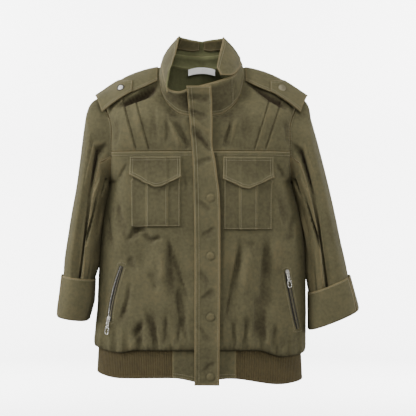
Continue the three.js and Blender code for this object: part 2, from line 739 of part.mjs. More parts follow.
const YOKE_BULGE = 13;
const CENTRE_SHARE = 0.34;

function frontEdgeX(side, z) {
  return zipX(z) + side * (ZIP_HALF_WIDTH + SEAM);
}

function frontYokeSurface(side) {
  const seamAngle = armholeAngleAt(YOKE_SEAM_Z, true);
  const foot = (u) => bodyPoint(side, true, 0, u, frontEdgeX(side, YOKE_SEAM_Z));
  const top = (u) => shoulderPoint(side, u);
  const centreFoot = foot(0);
  const centreTop = vec(frontEdgeX(side, NECK_FRONT_Z), NECK_ROWS.at(-1).y, NECK_FRONT_Z);
  const start = (v) => {
    if (v < CENTRE_SHARE) {
      return centreFoot.clone().lerp(centreTop, v / CENTRE_SHARE);
    }
    return neckEdge(side, mix(1, SHOULDER_SPAN, (v - CENTRE_SHARE) / (1 - CENTRE_SHARE)));
  };
  const end = (v) => armholePoint(side, mix(seamAngle, 0, v));
  const flat = patch(foot, top, start, end);
  return (u, v) => {
    const point = flat(u, v);
    point.y -= YOKE_BULGE * Math.sin(Math.PI * v) * (1 - (1 - 2 * u) ** 4);
    return point;
  };
}

const outwardFront = () => vec(0, -1, 0.2);
const outwardBack = () => vec(0, 1, 0.2);

function addFrontYoke(side, name) {
  const surface = frontYokeSurface(side);
  const seam = SEAM / 110;
  const edgeNormal = ({ point, row, column, rows, columns }) => {
    if (column === columns - 1) {
      return armholeNormal(point);
    }
    if (row === rows - 1) {
      return shoulderNormal(side);
    }
    return column === 0 && point.z > NECK_FRONT_Z + 1 ? neckNormal(point) : null;
  };
  const shape = (u, v) => {
    const point = surface(u, v);
    point.y -= HALF_SEAM * smooth(0.9, 1, v);
    return point;
  };
  const neckSpans = COLLAR_SPANS.filter((span) => span >= SHOULDER_SPAN).reverse();
  const neckShares = neckSpans.map((span) => (
    mix(CENTRE_SHARE, 1, (1 - span) / (1 - SHOULDER_SPAN))));
  const vs = [seam, CENTRE_SHARE / 2, ...neckShares];
  const geometry = wallGeometry(shape, spread(0, 1, 10), vs, {
    thickness: CLOTH, outward: outwardFront, edgeNormal,
  });
  addMesh(name, geometry, clothMaterial);
}

const FRONT_DROPS = [
  0.4, 16, 32, 46, 55, 60, 72, 92, 120, 155, 195, 235, 275, 310, 338, 358, 374, 388, 397, 402, 405.5,
];

function sideNormal(side, point, drop) {
  return drop < -UNDERARM_Z + YOKE_SEAM_Z ? armholeNormal(point) : vec(side, 0, 0);
}

function addFront(side, name) {
  const surface = (u, drop) => bodyPoint(side, true, drop, u, frontEdgeX(side, body.z(drop)));
  const edgeNormal = ({ point, row, column, columns }) =>
    (column === columns - 1 ? sideNormal(side, point, FRONT_DROPS[row]) : null);
  const geometry = wallGeometry(surface, spread(0, 1, 20), FRONT_DROPS, {
    thickness: CLOTH, outward: (point) => vec(point.x * 0.3, -100, 0), edgeNormal,
  });
  addMesh(name, geometry, clothMaterial);
}

// The back is one piece, from the shoulders and neck down to the rib
const BACK_SHOULDER_SHARE = 0.32;
const BACK_DROPS = [0, 20, 40, 54, 60, 76, 100, 135, 175, 215, 255, 295, 330, 356, 376, 390, 398, 402, 405.5];
const BACK_RISE_STEPS = 6;
const BACK_BULGE = 10;

function addBack() {
  const seamAngle = armholeAngleAt(YOKE_SEAM_Z, false);
  const lower = (u, drop) => {
    const side = u < 0.5 ? -1 : 1;
    return bodyPoint(side, false, drop, Math.abs(2 * u - 1), 0);
  };
  const top = (u) => {
    if (u < BACK_SHOULDER_SHARE) {
      return shoulderPoint(-1, 1 - u / BACK_SHOULDER_SHARE);
    }
    if (u > 1 - BACK_SHOULDER_SHARE) {
      return shoulderPoint(1, 1 - (1 - u) / BACK_SHOULDER_SHARE);
    }
    const across = (u - 0.5) / (0.5 - BACK_SHOULDER_SHARE);
    return neckPoint(across < 0 ? -1 : 1, Math.abs(across) * SHOULDER_SPAN);
  };
  const upper = patch(
    (u) => lower(u, 0),
    top,
    (v) => armholePoint(-1, mix(seamAngle, 360, v)),
    (v) => armholePoint(1, mix(seamAngle, 360, v)),
  );
  const surface = (u, row) => {
    if (row < 0) {
      const v = -row / BACK_RISE_STEPS;
      const point = upper(u, v);
      point.y += BACK_BULGE * Math.sin(Math.PI * v) * Math.sin(Math.PI * u);
      point.y += SEAM * smooth(0.9, 1, v);
      return point;
    }
    const whole = Math.min(Math.floor(row), BACK_DROPS.length - 2);
    return lower(u, mix(BACK_DROPS[whole], BACK_DROPS[whole + 1], row - whole));
  };
  const rows = spread(-BACK_RISE_STEPS, BACK_DROPS.length - 1, BACK_RISE_STEPS + BACK_DROPS.length - 1);
  const edgeNormal = ({ point, row, column, columns }) => {
    const atSide = column === 0 || column === columns - 1;
    if (atSide) {
      const side = column === 0 ? -1 : 1;
      const drop = row < BACK_RISE_STEPS ? 0 : BACK_DROPS[row - BACK_RISE_STEPS];
      return sideNormal(side, point, drop);
    }
    if (row === 0) {
      return Math.abs(point.x) > 83 ? shoulderNormal(Math.sign(point.x)) : neckNormal(point);
    }
    return null;
  };
  const shoulder = spread(0, BACK_SHOULDER_SHARE, 8);
  const columns = [
    ...shoulder,
    ...spread(BACK_SHOULDER_SHARE, 1 - BACK_SHOULDER_SHARE, 8).slice(1, -1),
    ...shoulder.map((share) => 1 - share).reverse(),
  ];
  const geometry = wallGeometry(surface, columns, rows, {
    thickness: CLOTH, outward: (point) => vec(point.x * 0.3, 100, 10), edgeNormal,
  });
  addMesh('back', geometry, clothMaterial);
}

// Sleeves: rings between the armhole and the end hidden in the turned-up cuff
function sleeveRing(side, rows, position, angle) {
  const at = tableCurves(rows.map((row, order) => ({ order, ...row })), 'order');
  const outer = vec(side * at.outX(position), 0, at.outZ(position));
  const inner = vec(side * at.inX(position), 0, at.inZ(position));
  const middle = outer.clone().add(inner).multiplyScalar(0.5);
  const reach = outer.clone().sub(inner).multiplyScalar(0.5);
  const a = radians(angle);
  const power = 2 / SLEEVE_SQUARENESS;
  const outward = Math.sign(Math.cos(a)) * Math.abs(Math.cos(a)) ** power;
  const forward = Math.sign(Math.sin(a)) * Math.abs(Math.sin(a)) ** power;
  const point = middle.addScaledVector(reach, outward);
  point.y -= at.depth(position) * forward;
  return point;
}

const ringCache = new Map();

function cachedRing(side, key, rows, position, angle) {
  const id = `${side} ${key} ${position.toFixed(5)} ${angle.toFixed(4)}`;
  if (!ringCache.has(id)) {
    ringCache.set(id, sleeveRing(side, rows, position, angle));
  }
  return ringCache.get(id).clone();
}

function sleeveFoldHeight(angle, t) {
  let height = 0;
  for (const fold of SLEEVE_FOLDS) {
    const apart = Math.abs(((angle - fold.angle + 540) % 360) - 180);
    const across = clamp(1 - apart / (1.7 * fold.reach), 0, 1);
    const along = smooth(fold.from - 0.08, fold.from + 0.12, t) * (1 - smooth(fold.to - 0.15, fold.to, t));
    height += fold.depth * across * across * (3 - 2 * across) * along;
  }
  return height;
}

// v is 0 at the armhole and 1 at the end, and rings follow the section table in between
function sleevePoint(side, angle, v) {
  const rows = side < 0 ? RIGHT_ARM_SECTIONS : LEFT_ARM_SECTIONS;
  const scaled = v * rows.length - 1;
  let point;
  if (scaled < 0) {
    const start = armholePoint(side, angle);
    start.x += side * 2 * SEAM;
    const next = cachedRing(side, 'sleeve', rows, 0, angle);
    point = start.lerp(next, scaled + 1);
    const head = SLEEVE_HEAD * Math.sin(Math.PI * (scaled + 1)) * Math.max(0, Math.cos(radians(angle))) ** 2;
    point.addScaledVector(vec(side * 0.7, 0, 0.7), head);
  } else {
    point = cachedRing(side, 'sleeve', rows, scaled, angle);
  }
  const push = sleeveFoldHeight(angle, v);
  const middle = cachedRing(side, 'sleeve', rows, clamp(scaled, 0, rows.length - 1), 0)
    .add(cachedRing(side, 'sleeve', rows, clamp(scaled, 0, rows.length - 1), 180)).multiplyScalar(0.5);
  const away = point.clone().sub(middle);
  away.z *= 0.3;
  return point.addScaledVector(away.normalize(), push);
}

function backSeamAngle(side, v) {
  const foot = side < 0 ? RIGHT_ARM_BACK_SEAM_FOOT : LEFT_ARM_BACK_SEAM_FOOT;
  return mix(SLEEVE_BACK_SEAM_TOP, foot, smooth(0.1, 1, v));
}

const SLEEVE_VS = [0, 0.05, 0.1, 0.16, 0.24, 0.32, 0.4, 0.48, 0.56, 0.64, 0.72, 0.8, 0.87, 0.93, 1];
const SLEEVE_SEAM_DEGREES = 0.25;

function addSleeve(side, name) {
  const outward = (point) => {
    const along = clamp((-point.z - 150) / 350, 0, 1);
    const middleX = side * mix(205, side < 0 ? 258 : 266, along);
    return vec(point.x - middleX, point.y, (1 - along) * (point.z + 150) * 0.8);
  };
  const edgeNormal = ({ point, row }) => (row === 0 ? armholeNormal(point) : null);
  const options = { thickness: CLOTH, outward, edgeNormal };
  const upper = (u, v) => {
    const from = backSeamAngle(side, v) + SLEEVE_SEAM_DEGREES;
    return sleevePoint(side, mix(from, SLEEVE_FRONT_SEAM - SLEEVE_SEAM_DEGREES, u), v);
  };
  const under = (u, v) => {
    const to = backSeamAngle(side, v) + 360 - SLEEVE_SEAM_DEGREES;
    return sleevePoint(side, mix(SLEEVE_FRONT_SEAM + SLEEVE_SEAM_DEGREES, to, u), v);
  };
  addMesh(`${name}_sleeve_upper`, wallGeometry(upper, spread(0, 1, 12), SLEEVE_VS, options), clothMaterial);
  addMesh(`${name}_sleeve_under`, wallGeometry(under, spread(0, 1, 12), SLEEVE_VS, options), clothMaterial);
}

// Turned-up cuffs: the outer layer, the fold at the foot, and a short inner layer up to the sleeve's end
const CUFF_PROFILE = [
  { layer: 0, inset: 0, position: 0 },
  { layer: 1, inset: 0, position: 0.7 },
  { layer: 2, inset: 0, position: 1.4 },
  { layer: 3, inset: 0.2, position: 1.9 },
  { layer: 4, inset: 2.6, position: 2 },
  { layer: 5, inset: 4.9, position: 1.88 },
  { layer: 6, inset: 5, position: 1.65 },
];

const CUFF_FOLD_LAYER = 4;

function addCuff(side, name) {
  const rows = side < 0 ? RIGHT_ARM_CUFF : LEFT_ARM_CUFF;
  const profile = tableCurves(CUFF_PROFILE, 'layer');
  const surface = (angle, layer) => {
    const position = profile.position(layer);
    const point = cachedRing(side, 'cuff', rows, position, angle);
    const middle = cachedRing(side, 'cuff', rows, position, 0)
      .add(cachedRing(side, 'cuff', rows, position, 180)).multiplyScalar(0.5);
    const inwards = middle.sub(point).normalize();
    return point.addScaledVector(inwards, profile.inset(layer));
  };
  const us = spread(CUFF_SLIT + CUFF_SLIT_HALF_GAP, CUFF_SLIT + 360 - CUFF_SLIT_HALF_GAP, 28);
  const vs = CUFF_PROFILE.map((row) => row.layer);
  const middleX = side * (side < 0 ? 257 : 266);
  const away = (point) => vec(point.x - middleX, point.y, 0);
  const geometry = wallGeometry(surface, us, vs, {
    thickness: CLOTH,
    outward: away,
    edgeNormal: ({ point, normal, row }) => {
      if (row === CUFF_FOLD_LAYER) {
        return vec(0, 0, -1).addScaledVector(away(point).normalize(), 0.05).normalize();
      }
      return row > CUFF_FOLD_LAYER ? normal.clone().negate() : null;
    },
  });
  addMesh(`${name}_cuff`, geometry, clothMaterial);
}

// Collar: a stand all round, a leaf outside its upper edge, and two tabs folded in at the back
function collarSide(at) {
  return at < 0 ? -1 : 1;
}

function standPoint(at, share) {
  const side = collarSide(at);
  const top = tableCurves(side < 0 ? STAND_TOP_RIGHT_ARM : STAND_TOP_LEFT_ARM, 'span');
  const span = Math.abs(at);
  const foot = neckEdge(side, span);
  const head = vec(side * top.x(span), top.y(span), top.z(span));
  const rise = head.clone().sub(foot);
  foot.addScaledVector(rise.clone().normalize(), SEAM);
  const point = foot.lerp(head, share);
  const bulge = 4 * Math.sin(Math.PI * share) * smooth(0, 0.15, 1 - span);
  return point.addScaledVector(vec(point.x, point.y * 1.2, 0).normalize(), bulge);
}

function leafPoint(at, share) {
  const side = collarSide(at);
  const edges = tableCurves(side < 0 ? LEAF_RIGHT_ARM : LEAF_LEFT_ARM, 'span');
  const span = Math.abs(at);
  const foot = vec(side * edges.footX(span), edges.footY(span), edges.footZ(span));
  const top = vec(side * edges.topX(span), edges.topY(span), edges.topZ(span));
  const lap = LEAF_LAP / foot.distanceTo(neckEdge(side, span));
  foot.lerp(standPoint(at, 1 - lap), 1 - smooth(0.5, 0.66, span));
  const point = foot.lerp(top, share);
  const bulge = 3 * Math.sin(Math.PI * share) * smooth(0, 0.25, LEAF_END - span);
  return point.addScaledVector(vec(point.x, point.y * 1.2, 0).normalize(), bulge);
}

const outwardCollar = (point) => vec(point.x, point.y + 8, 0);

function bothSides(spans) {
  return [...spans.slice(1).map((span) => -span).reverse(), ...spans];
}

function addCollar() {
  const standNormal = ({ point, row }) => (row === 0 ? neckNormal(point) : null);
  addMesh('collar_stand', wallGeometry(standPoint, bothSides(COLLAR_SPANS), [0, 0.34, 0.67, 1], {
    thickness: COLLAR_CLOTH, outward: outwardCollar, edgeNormal: standNormal,
  }), clothMaterial);
  addMesh('collar_leaf', wallGeometry(leafPoint, bothSides(LEAF_SPANS), spread(0, 1, 4), {
    thickness: COLLAR_CLOTH, lift: LEAF_LIFT, outward: outwardCollar,
  }), clothMaterial);
  for (const side of [-1, 1]) {
    const surface = (span, share) => {
      const corner = 1 - smooth(TAB_SPANS[0], TAB_SPANS[3], span);
      const low = TAB_FOLD.foot + TAB_FOLD.corner * corner * corner;
      return leafPoint(side * span, mix(low, TAB_FOLD.top, share));
    };
    addMesh(side < 0 ? 'collar_tab_right' : 'collar_tab_left', wallGeometry(surface, TAB_SPANS, [0, 0.5, 1], {
      thickness: TRIM_CLOTH, lift: -TAB_FOLD.inset, outward: outwardCollar,
    }), clothMaterial);
  }
}

function addLabel() {
  const surface = (x, share) => {
    const span = (NECK_ROWS[1].span * Math.abs(x)) / NECK_ROWS[1].x;
    const arch = LABEL.arch * (x / LABEL.halfWidth) ** 2;
    return vec(x, neckCurves.y(span) - LABEL.inset, mix(LABEL.foot, LABEL.top, share) - arch);
  };
  addMesh('neck_label', wallGeometry(surface, spread(-LABEL.halfWidth, LABEL.halfWidth, 8), [0, 1], {
    thickness: LABEL.thickness, outward: outwardBack,
  }), labelMaterial);
}

// Placket, front zip and the hidden snaps between them
const placketFace = tableCurves(PLACKET_FACE_ROWS, 'down');

function placketPoint(share, down) {
  const x = mix(placket.left(down), placket.right(down), share);
  return vec(x, -placketFace.face(down) - placketFace.lift(down) * share * share, -down);
}

function zipFace(z) {
  if (z < YOKE_SEAM_Z) {
    return -frontPoint(zipX(z), Math.max(z, HEM_TOP_Z + 10)).y;
  }
  if (z < NECK_FRONT_Z) {
    return mix(BODY_ROWS[0].front, -NECK_ROWS.at(-1).y, (z - YOKE_SEAM_Z) / (NECK_FRONT_Z - YOKE_SEAM_Z));
  }
  const share = (z - NECK_FRONT_Z) / (COLLAR_TOP_Z - NECK_FRONT_Z);
  return mix(-NECK_ROWS.at(-1).y, NECK_ZIP_FACE, share);
}

function addPlacket() {
  const downs = [
    51, 65, 80, 95, 112, 130, 150, 170, 195, 225, 260, 300, 345, 390, 440, 490, 535, 565, 590, 618, 645,
  ];
  addMesh('placket', wallGeometry(placketPoint, spread(0, 1, 5), downs, {
    thickness: CLOTH, outward: outwardFront,
  }), clothMaterial);
  const zipPoint = (across, z) => vec(zipX(z) + across, -zipFace(z), z);
  const heights = [-54, -72, -90, -108, -142, -176, -220, -280, -340, -400, -460, -520, -562];
  addMesh('front_zip', wallGeometry(zipPoint, [-ZIP_HALF_WIDTH, ZIP_HALF_WIDTH], heights, {
    thickness: TEETH_HEIGHT, outward: outwardFront,
  }), metalMaterial);
  HIDDEN_SNAP_HEIGHTS.forEach((z, order) => {
    const disc = new THREE.CylinderGeometry(HIDDEN_SNAP_RADIUS, HIDDEN_SNAP_RADIUS, HIDDEN_SNAP_HEIGHT, 16);
    const mesh = addMesh(`placket_snap_${order + 1}`, disc, metalMaterial);
    const behind = CLOTH + SEAM + HIDDEN_SNAP_HEIGHT / 2;
    mesh.position.set(HIDDEN_SNAP_X, -placketFace.face(-z) + behind, z);
  });
}

// The hem below the blouson: ribbed round the sides and back, woven beside the placket
function hemSection(side, inFront, share, drop) {
  const width = (side < 0 ? HEM_HALF_WIDTH.left : HEM_HALF_WIDTH.right) + HEM_FLARE * drop;
  const depth = inFront ? HEM_DEPTH.front : HEM_DEPTH.back;
  const { arc } = hemArc(width, depth);
  const { i, t } = readArc(arc, 'length', share * arc[arc.length - 1].length);
  const x = mix(arc[i - 1].x, arc[i].x, t);
  const y = mix(arc[i - 1].y, arc[i].y, t);
  const sideFoot = side < 0 ? hemFeet.rightFoot : hemFeet.leftFoot;
  const foot = inFront ? sideFoot(share) : mix(HEM_BACK_FOOT, sideFoot(1), smooth(0.3, 1, share));
  return vec(side * x, inFront ? -y : y, mix(HEM_TOP_Z - sagAt(side * x), foot, drop));
}

const hemFeet = tableCurves(HEM_ROWS, 'side');

function hemArc(width, depth) {
  const key = `hem ${width.toFixed(3)} ${depth}`;
  if (!arcCache.has(key)) {
    const arc = [{ x: 0, y: depth, length: 0 }];
    for (let i = 1; i <= ARC_STEPS; i += 1) {
      const theta = (Math.PI / 2) * (i / ARC_STEPS);
      const x = width * Math.sin(theta) ** (2 / BODY_POWER);
      const y = i === ARC_STEPS ? 0 : depth * Math.cos(theta) ** (2 / BODY_POWER);
      const before = arc[i - 1];
      arc.push({ x, y, length: before.length + Math.hypot(x - before.x, y - before.y) });
    }
    arcCache.set(key, { arc });
  }
  return arcCache.get(key);
}

function hemShareAt(side, x) {
  const { arc } = hemArc(side < 0 ? HEM_HALF_WIDTH.left : HEM_HALF_WIDTH.right, HEM_DEPTH.front);
  const { i, t } = readArc(arc, 'x', Math.abs(x));
  return mix(arc[i - 1].length, arc[i].length, t) / arc[arc.length - 1].length;
}

function addHem() {
  const leftStart = hemShareAt(-1, HEM_END_LEFT_X);
  const rightStart = hemShareAt(1, HEM_END_RIGHT_X);
  const rib = (turn, drop) => {
    if (turn < 1) {
      return hemSection(-1, true, mix(leftStart, 1, turn), drop);
    }
    if (turn < 2) {
      return hemSection(-1, false, 2 - turn, drop);
    }
    if (turn < 3) {
      return hemSection(1, false, turn - 2, drop);
    }
    return hemSection(1, true, mix(1, rightStart, turn - 3), drop);
  };
  addMesh('hem_rib', wallGeometry(rib, spread(0, 4, 40), [0, 0.33, 0.67, 1], {
    thickness: RIB_CLOTH, outward: (point) => vec(point.x * 0.2, point.y, 0),
  }), ribMaterial);
  const woven = (x, drop) => {
    const point = hemSection(x < 0 ? -1 : 1, true, hemShareAt(x < 0 ? -1 : 1, x), drop);
    return vec(x, point.y, point.z);
  };
  const zipAtHem = zipX(HEM_TOP_Z);
  const ends = [
    ['hem_end_right', HEM_END_LEFT_X + SEAM, zipAtHem - HALF_SEAM],
    ['hem_end_left', zipAtHem + HALF_SEAM, HEM_END_RIGHT_X - SEAM],
  ];
  for (const [name, from, to] of ends) {
    addMesh(name, wallGeometry(woven, spread(from, to, 6), [0, 0.33, 0.67, 1], {
      thickness: CLOTH, outward: outwardFront,
    }), clothMaterial);
  }
}

// Chest pockets
function pleatRaise(pocket, x) {
  const [low, high] = pocket.pleats;
  return PLEAT_RAISE * smooth(low - PLEAT_EDGE, low, x) * smooth(-high - PLEAT_EDGE, -high, -x);
}

function chestPoint(pocket, x, z) {
  const point = frontPoint(x, z);
  point.y -= pleatRaise(pocket, x);
  return point;
}

function addChestPocket(pocket) {
  const low = Math.min(pocket.inner, pocket.outer);
  const high = Math.max(pocket.inner, pocket.outer);
  const [first, second] = pocket.pleats;
  const folds = [first - PLEAT_EDGE, first, second, second + PLEAT_EDGE];
  const between = (from, to, steps) => spread(from, to, steps).slice(1, -1);
  const xs = [
    low, ...between(low, folds[0], 3), folds[0], folds[1], ...between(folds[1], folds[2], 3),
    folds[2], folds[3], ...between(folds[3], high, 3), high,
  ];
  const patchPoint = (x, z) => chestPoint(pocket, x, z);
  addMesh(`${pocket.name}_patch`, wallGeometry(patchPoint, xs, spread(pocket.top, pocket.foot, 7), {
    thickness: TRIM_CLOTH, lift: POCKET_GAP + TRIM_CLOTH, outward: outwardFront,
  }), clothMaterial);
  const flapLow = low - FLAP_OVERHANG;
  const flapHigh = high + FLAP_OVERHANG;
  const lowFoot = low === pocket.inner ? pocket.innerZ : pocket.outerZ;
  const highFoot = low === pocket.inner ? pocket.outerZ : pocket.innerZ;
  const flapFoot = (x) => (x < pocket.pointX
    ? mix(lowFoot, pocket.pointZ, (x - flapLow) / (pocket.pointX - flapLow))
    : mix(pocket.pointZ, highFoot, (x - pocket.pointX) / (flapHigh - pocket.pointX)));
  const inside = xs.slice(1, -1).filter((x) => Math.abs(x - pocket.pointX) > 1);
  const flapXs = [flapLow, ...inside, pocket.pointX, flapHigh].sort((a, b) => a - b);
  const flapPoint = (x, share) => chestPoint(pocket, x, mix(pocket.top + FLAP_OVERHANG, flapFoot(x), share));
  addMesh(`${pocket.name}_flap`, wallGeometry(flapPoint, flapXs, spread(0, 1, 4), {
    thickness: TRIM_CLOTH, lift: 2 * (POCKET_GAP + TRIM_CLOTH), outward: outwardFront,
  }), clothMaterial);
}

// Zips: a band of teeth on the cloth, a slider with its arch, and a pull hung under the arch
function solidFrom(wasm, geometry) {
  const merged = geometry.clone();
  merged.deleteAttribute('normal');
  merged.deleteAttribute('uv');
  const joined = mergeVertices(merged, 1e-4);
  return new wasm.Manifold(new wasm.Mesh({
    numProp: 3,
    vertProperties: new Float32Array(joined.attributes.position.array),
    triVerts: new Uint32Array(joined.index.array),
  }));
}

function geometryFrom(solid) {
  const mesh = solid.getMesh();
  const geometry = new THREE.BufferGeometry();
  geometry.setAttribute('position', new THREE.Float32BufferAttribute(mesh.vertProperties, 3));
  geometry.setIndex(Array.from(mesh.triVerts));
  return geometry;
}

function rectangle(target, halfWidth, from, to) {
  target.moveTo(-halfWidth, from);
  target.lineTo(-halfWidth, to);
  target.lineTo(halfWidth, to);
  target.lineTo(halfWidth, from);
  target.closePath();
  return target;
}

// Local axes: X across the zip, Y up along it and Z out of the cloth, from the foot of the plate
function sliderGeometry(wasm) {
  const outline = new THREE.Shape();
  const half = SLIDER_WIDTH / 2;
  const reach = SLIDER_LENGTH / 2;
  outline.moveTo(-half * 0.7, -reach);
  outline.lineTo(half * 0.7, -reach);
  outline.lineTo(half, reach * 0.4);
  outline.absarc(0, reach - half, half, 0.3, Math.PI - 0.3, false);
  outline.lineTo(-half, reach * 0.4);
  outline.closePath();
  const flat = { depth: SLIDER_PLATE, bevelEnabled: false, curveSegments: 8 };
  const plate = new THREE.ExtrudeGeometry(outline, flat);
  const profile = new THREE.Shape();
  const archTop = SLIDER_PLATE + 2 * PULL_AXIS_RISE + ARCH_WALL;
  profile.moveTo(-ARCH_HALF_LENGTH, SLIDER_PLATE / 2);
  profile.lineTo(ARCH_HALF_LENGTH, SLIDER_PLATE / 2);
  profile.lineTo(ARCH_HALF_LENGTH, archTop - 1);
  profile.lineTo(ARCH_HALF_LENGTH - 1, archTop);
  profile.lineTo(1 - ARCH_HALF_LENGTH, archTop);
  profile.lineTo(-ARCH_HALF_LENGTH, archTop - 1);
  profile.closePath();
  const inner = ARCH_HALF_LENGTH - ARCH_WALL;
  profile.holes.push(rectangle(new THREE.Path(), inner, SLIDER_PLATE + 2 * PULL_AXIS_RISE, SLIDER_PLATE));
  const arch = new THREE.ExtrudeGeometry(profile, { depth: ARCH_WIDTH, bevelEnabled: false });
  arch.translate(0, 0, -ARCH_WIDTH / 2);
  arch.rotateX(Math.PI / 2);
  arch.rotateZ(Math.PI / 2);
  return geometryFrom(solidFrom(wasm, plate).add(solidFrom(wasm, arch)));
}

// Local axes as the slider's, from the pull's axis, with the pull hanging down
function pullGeometry() {
  const outline = new THREE.Shape();
  outline.moveTo(-PULL_NECK_HALF_WIDTH, PULL_EYE.from);
  outline.lineTo(-PULL_NECK_HALF_WIDTH, -8);
  outline.lineTo(-PULL_HALF_WIDTH, -10.5);
  outline.lineTo(-PULL_HALF_WIDTH, 1.5 - PULL_LENGTH);
  outline.lineTo(1.5 - PULL_HALF_WIDTH, -PULL_LENGTH);
  outline.lineTo(PULL_HALF_WIDTH - 1.5, -PULL_LENGTH);
  outline.lineTo(PULL_HALF_WIDTH, 1.5 - PULL_LENGTH);
  outline.lineTo(PULL_HALF_WIDTH, -10.5);
  outline.lineTo(PULL_NECK_HALF_WIDTH, -8);
  outline.lineTo(PULL_NECK_HALF_WIDTH, PULL_EYE.from);
  outline.closePath();
  outline.holes.push(rectangle(new THREE.Path(), PULL_EYE.halfWidth, -PULL_EYE.from, -PULL_EYE.to));
  outline.holes.push(rectangle(new THREE.Path(), PULL_WINDOW.halfWidth, -PULL_WINDOW.from, -PULL_WINDOW.to));
  const geometry = new THREE.ExtrudeGeometry(outline, { depth: PULL_THICKNESS, bevelEnabled: false });
  return geometry.translate(0, 0, -PULL_THICKNESS / 2);
}

// Places a slider and its pull at a point, with "up" along the zip and "out" away from the cloth
function addSlider(wasm, name, place, up, out, height) {
  const across = up.clone().cross(out).normalize();
  const along = out.clone().cross(across).normalize();
  const turn = new THREE.Matrix4().makeBasis(across, along, out);
  const slider = addMesh(`${name}_slider`, sliderGeometry(wasm), metalMaterial);
  slider.quaternion.setFromRotationMatrix(turn);
  slider.position.copy(place).addScaledVector(out, height);
  const pull = addMesh(`${name}_pull`, pullGeometry(), metalMaterial);
  pull.quaternion.copy(slider.quaternion);
  pull.position.copy(slider.position).addScaledVector(out, SLIDER_PLATE + PULL_AXIS_RISE);
}

function addPocketZip(wasm, zip) {
  const last = zip.line.length - 1;
  const points = zip.line.map((point) => ({ x: point.x, y: 0, z: point.z }));
  const line = (t) => splinePoint(points, clamp(t, 0, 1) * last * 0.99999, false);
  const tangent = (t) => line(t + 1e-3).sub(line(t - 1e-3)).normalize();
  const teeth = (across, t) => {
    const middle = line(t);
    const ahead = tangent(t);
    return frontPoint(middle.x - across * ahead.z, middle.z + across * ahead.x);
  };
  addMesh(`${zip.name}_zip`, wallGeometry(teeth, [-TEETH_HALF_WIDTH, TEETH_HALF_WIDTH], spread(0, 1, 10), {
    thickness: TEETH_HEIGHT, lift: SEAM + TEETH_HEIGHT, outward: outwardFront,
  }), metalMaterial);
  const at = zip.sliderAtFoot ? 0.96 : 0.05;
  const middle = line(at);
  const place = frontPoint(middle.x, middle.z);
  const above = frontPoint(middle.x - 2 * tangent(at).x, middle.z - 2 * tangent(at).z);
  const beside = frontPoint(middle.x + 2, middle.z);
  const up = above.sub(place).normalize();
  const out = up.clone().cross(beside.sub(place)).normalize();
  if (out.y > 0) {
    out.negate();
  }
  addSlider(wasm, zip.name, place, up, out, 2 * SEAM + TEETH_HEIGHT);
}

function addNeckSlider(wasm) {
  const z = NECK_SLIDER_Z;
  const place = vec(zipX(z), -zipFace(z), z);
  const up = vec(zipX(z + 1) - zipX(z), -zipFace(z + 1) + zipFace(z), 1).normalize();
  const out = vec(0, -1, 0).addScaledVector(up, up.y).normalize();
  addSlider(wasm, 'front_zip', place, up, out, SEAM);
}

// Epaulets
const strap = tableCurves(STRAP_ROWS, 'along');
const tabBack = columnCurve(TAB_BACK_ROWS, 'along', 'share');

function strapPoint(side, along, share) {
  const pass = (back, mid, front) =>
    back * (1 - share) * (1 - 2 * share) + mid * 4 * share * (1 - share) + front * share * (2 * share - 1);
  return vec(
    side * pass(strap.backX(along), strap.midX(along), strap.frontX(along)),
    pass(strap.backY(along), strap.midY(along), strap.frontY(along)),
    pass(strap.backZ(along), strap.midZ(along), strap.frontZ(along)),
  );
}

function addEpaulet(side, name) {
  const strapLift = side < 0 ? STRAP_LIFT.rightArm : STRAP_LIFT.leftArm;
  const outward = () => vec(side * 0.3, -0.5, 1);
  const strapSurface = (along, share) => strapPoint(side, along, share);
  addMesh(`${name}_epaulet_strap`, wallGeometry(strapSurface, spread(0, STRAP_END, 9), spread(0, 1, 5), {
    thickness: TRIM_CLOTH, lift: strapLift, outward,
  }), clothMaterial);
  const tabSurface = (along, share) => strapPoint(side, along, mix(tabBack(along), 1, share));
  addMesh(`${name}_epaulet_tab`, wallGeometry(tabSurface, spread(TAB_START, 1, 7), spread(0, 1, 5), {
    thickness: TRIM_CLOTH, lift: strapLift + 2 * SEAM + TRIM_CLOTH, outward,
  }), clothMaterial);
  const { along, share } = EPAULET_SNAP;
  const place = strapPoint(side, along, share);
  const ahead = strapPoint(side, along + 0.02, share).sub(place);
  const beside = strapPoint(side, along, share + 0.02).sub(place);
  const out = ahead.cross(beside).normalize();
  if (out.z < 0) {
    out.negate();
  }
  const profile = SNAP_PROFILE.map((row) => new THREE.Vector2(row.radius, row.height));
  const snap = addMesh(`${name}_epaulet_snap`, new THREE.LatheGeometry(profile, 18), metalMaterial);
  snap.quaternion.setFromUnitVectors(vec(0, 1, 0), out);
  snap.position.copy(place).addScaledVector(out, strapLift + 3 * SEAM + TRIM_CLOTH);
}

const manifold = await Module();
manifold.setup();
addFrontYoke(-1, 'right_front_yoke');
addFrontYoke(1, 'left_front_yoke');
addFront(-1, 'right_front');
addFront(1, 'left_front');
addBack();
addSleeve(-1, 'right');
addSleeve(1, 'left');
addCuff(-1, 'right');
addCuff(1, 'left');
addCollar();
addLabel();
addPlacket();
addHem();
CHEST_POCKETS.forEach(addChestPocket);
POCKET_ZIPS.forEach((zip) => addPocketZip(manifold, zip));
addNeckSlider(manifold);
addEpaulet(-1, 'right');
addEpaulet(1, 'left');

export default jacket;
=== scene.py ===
"""Dresses the utility jacket: creased cloth shells, sewing, rib knit, zip teeth, snaps and studio."""

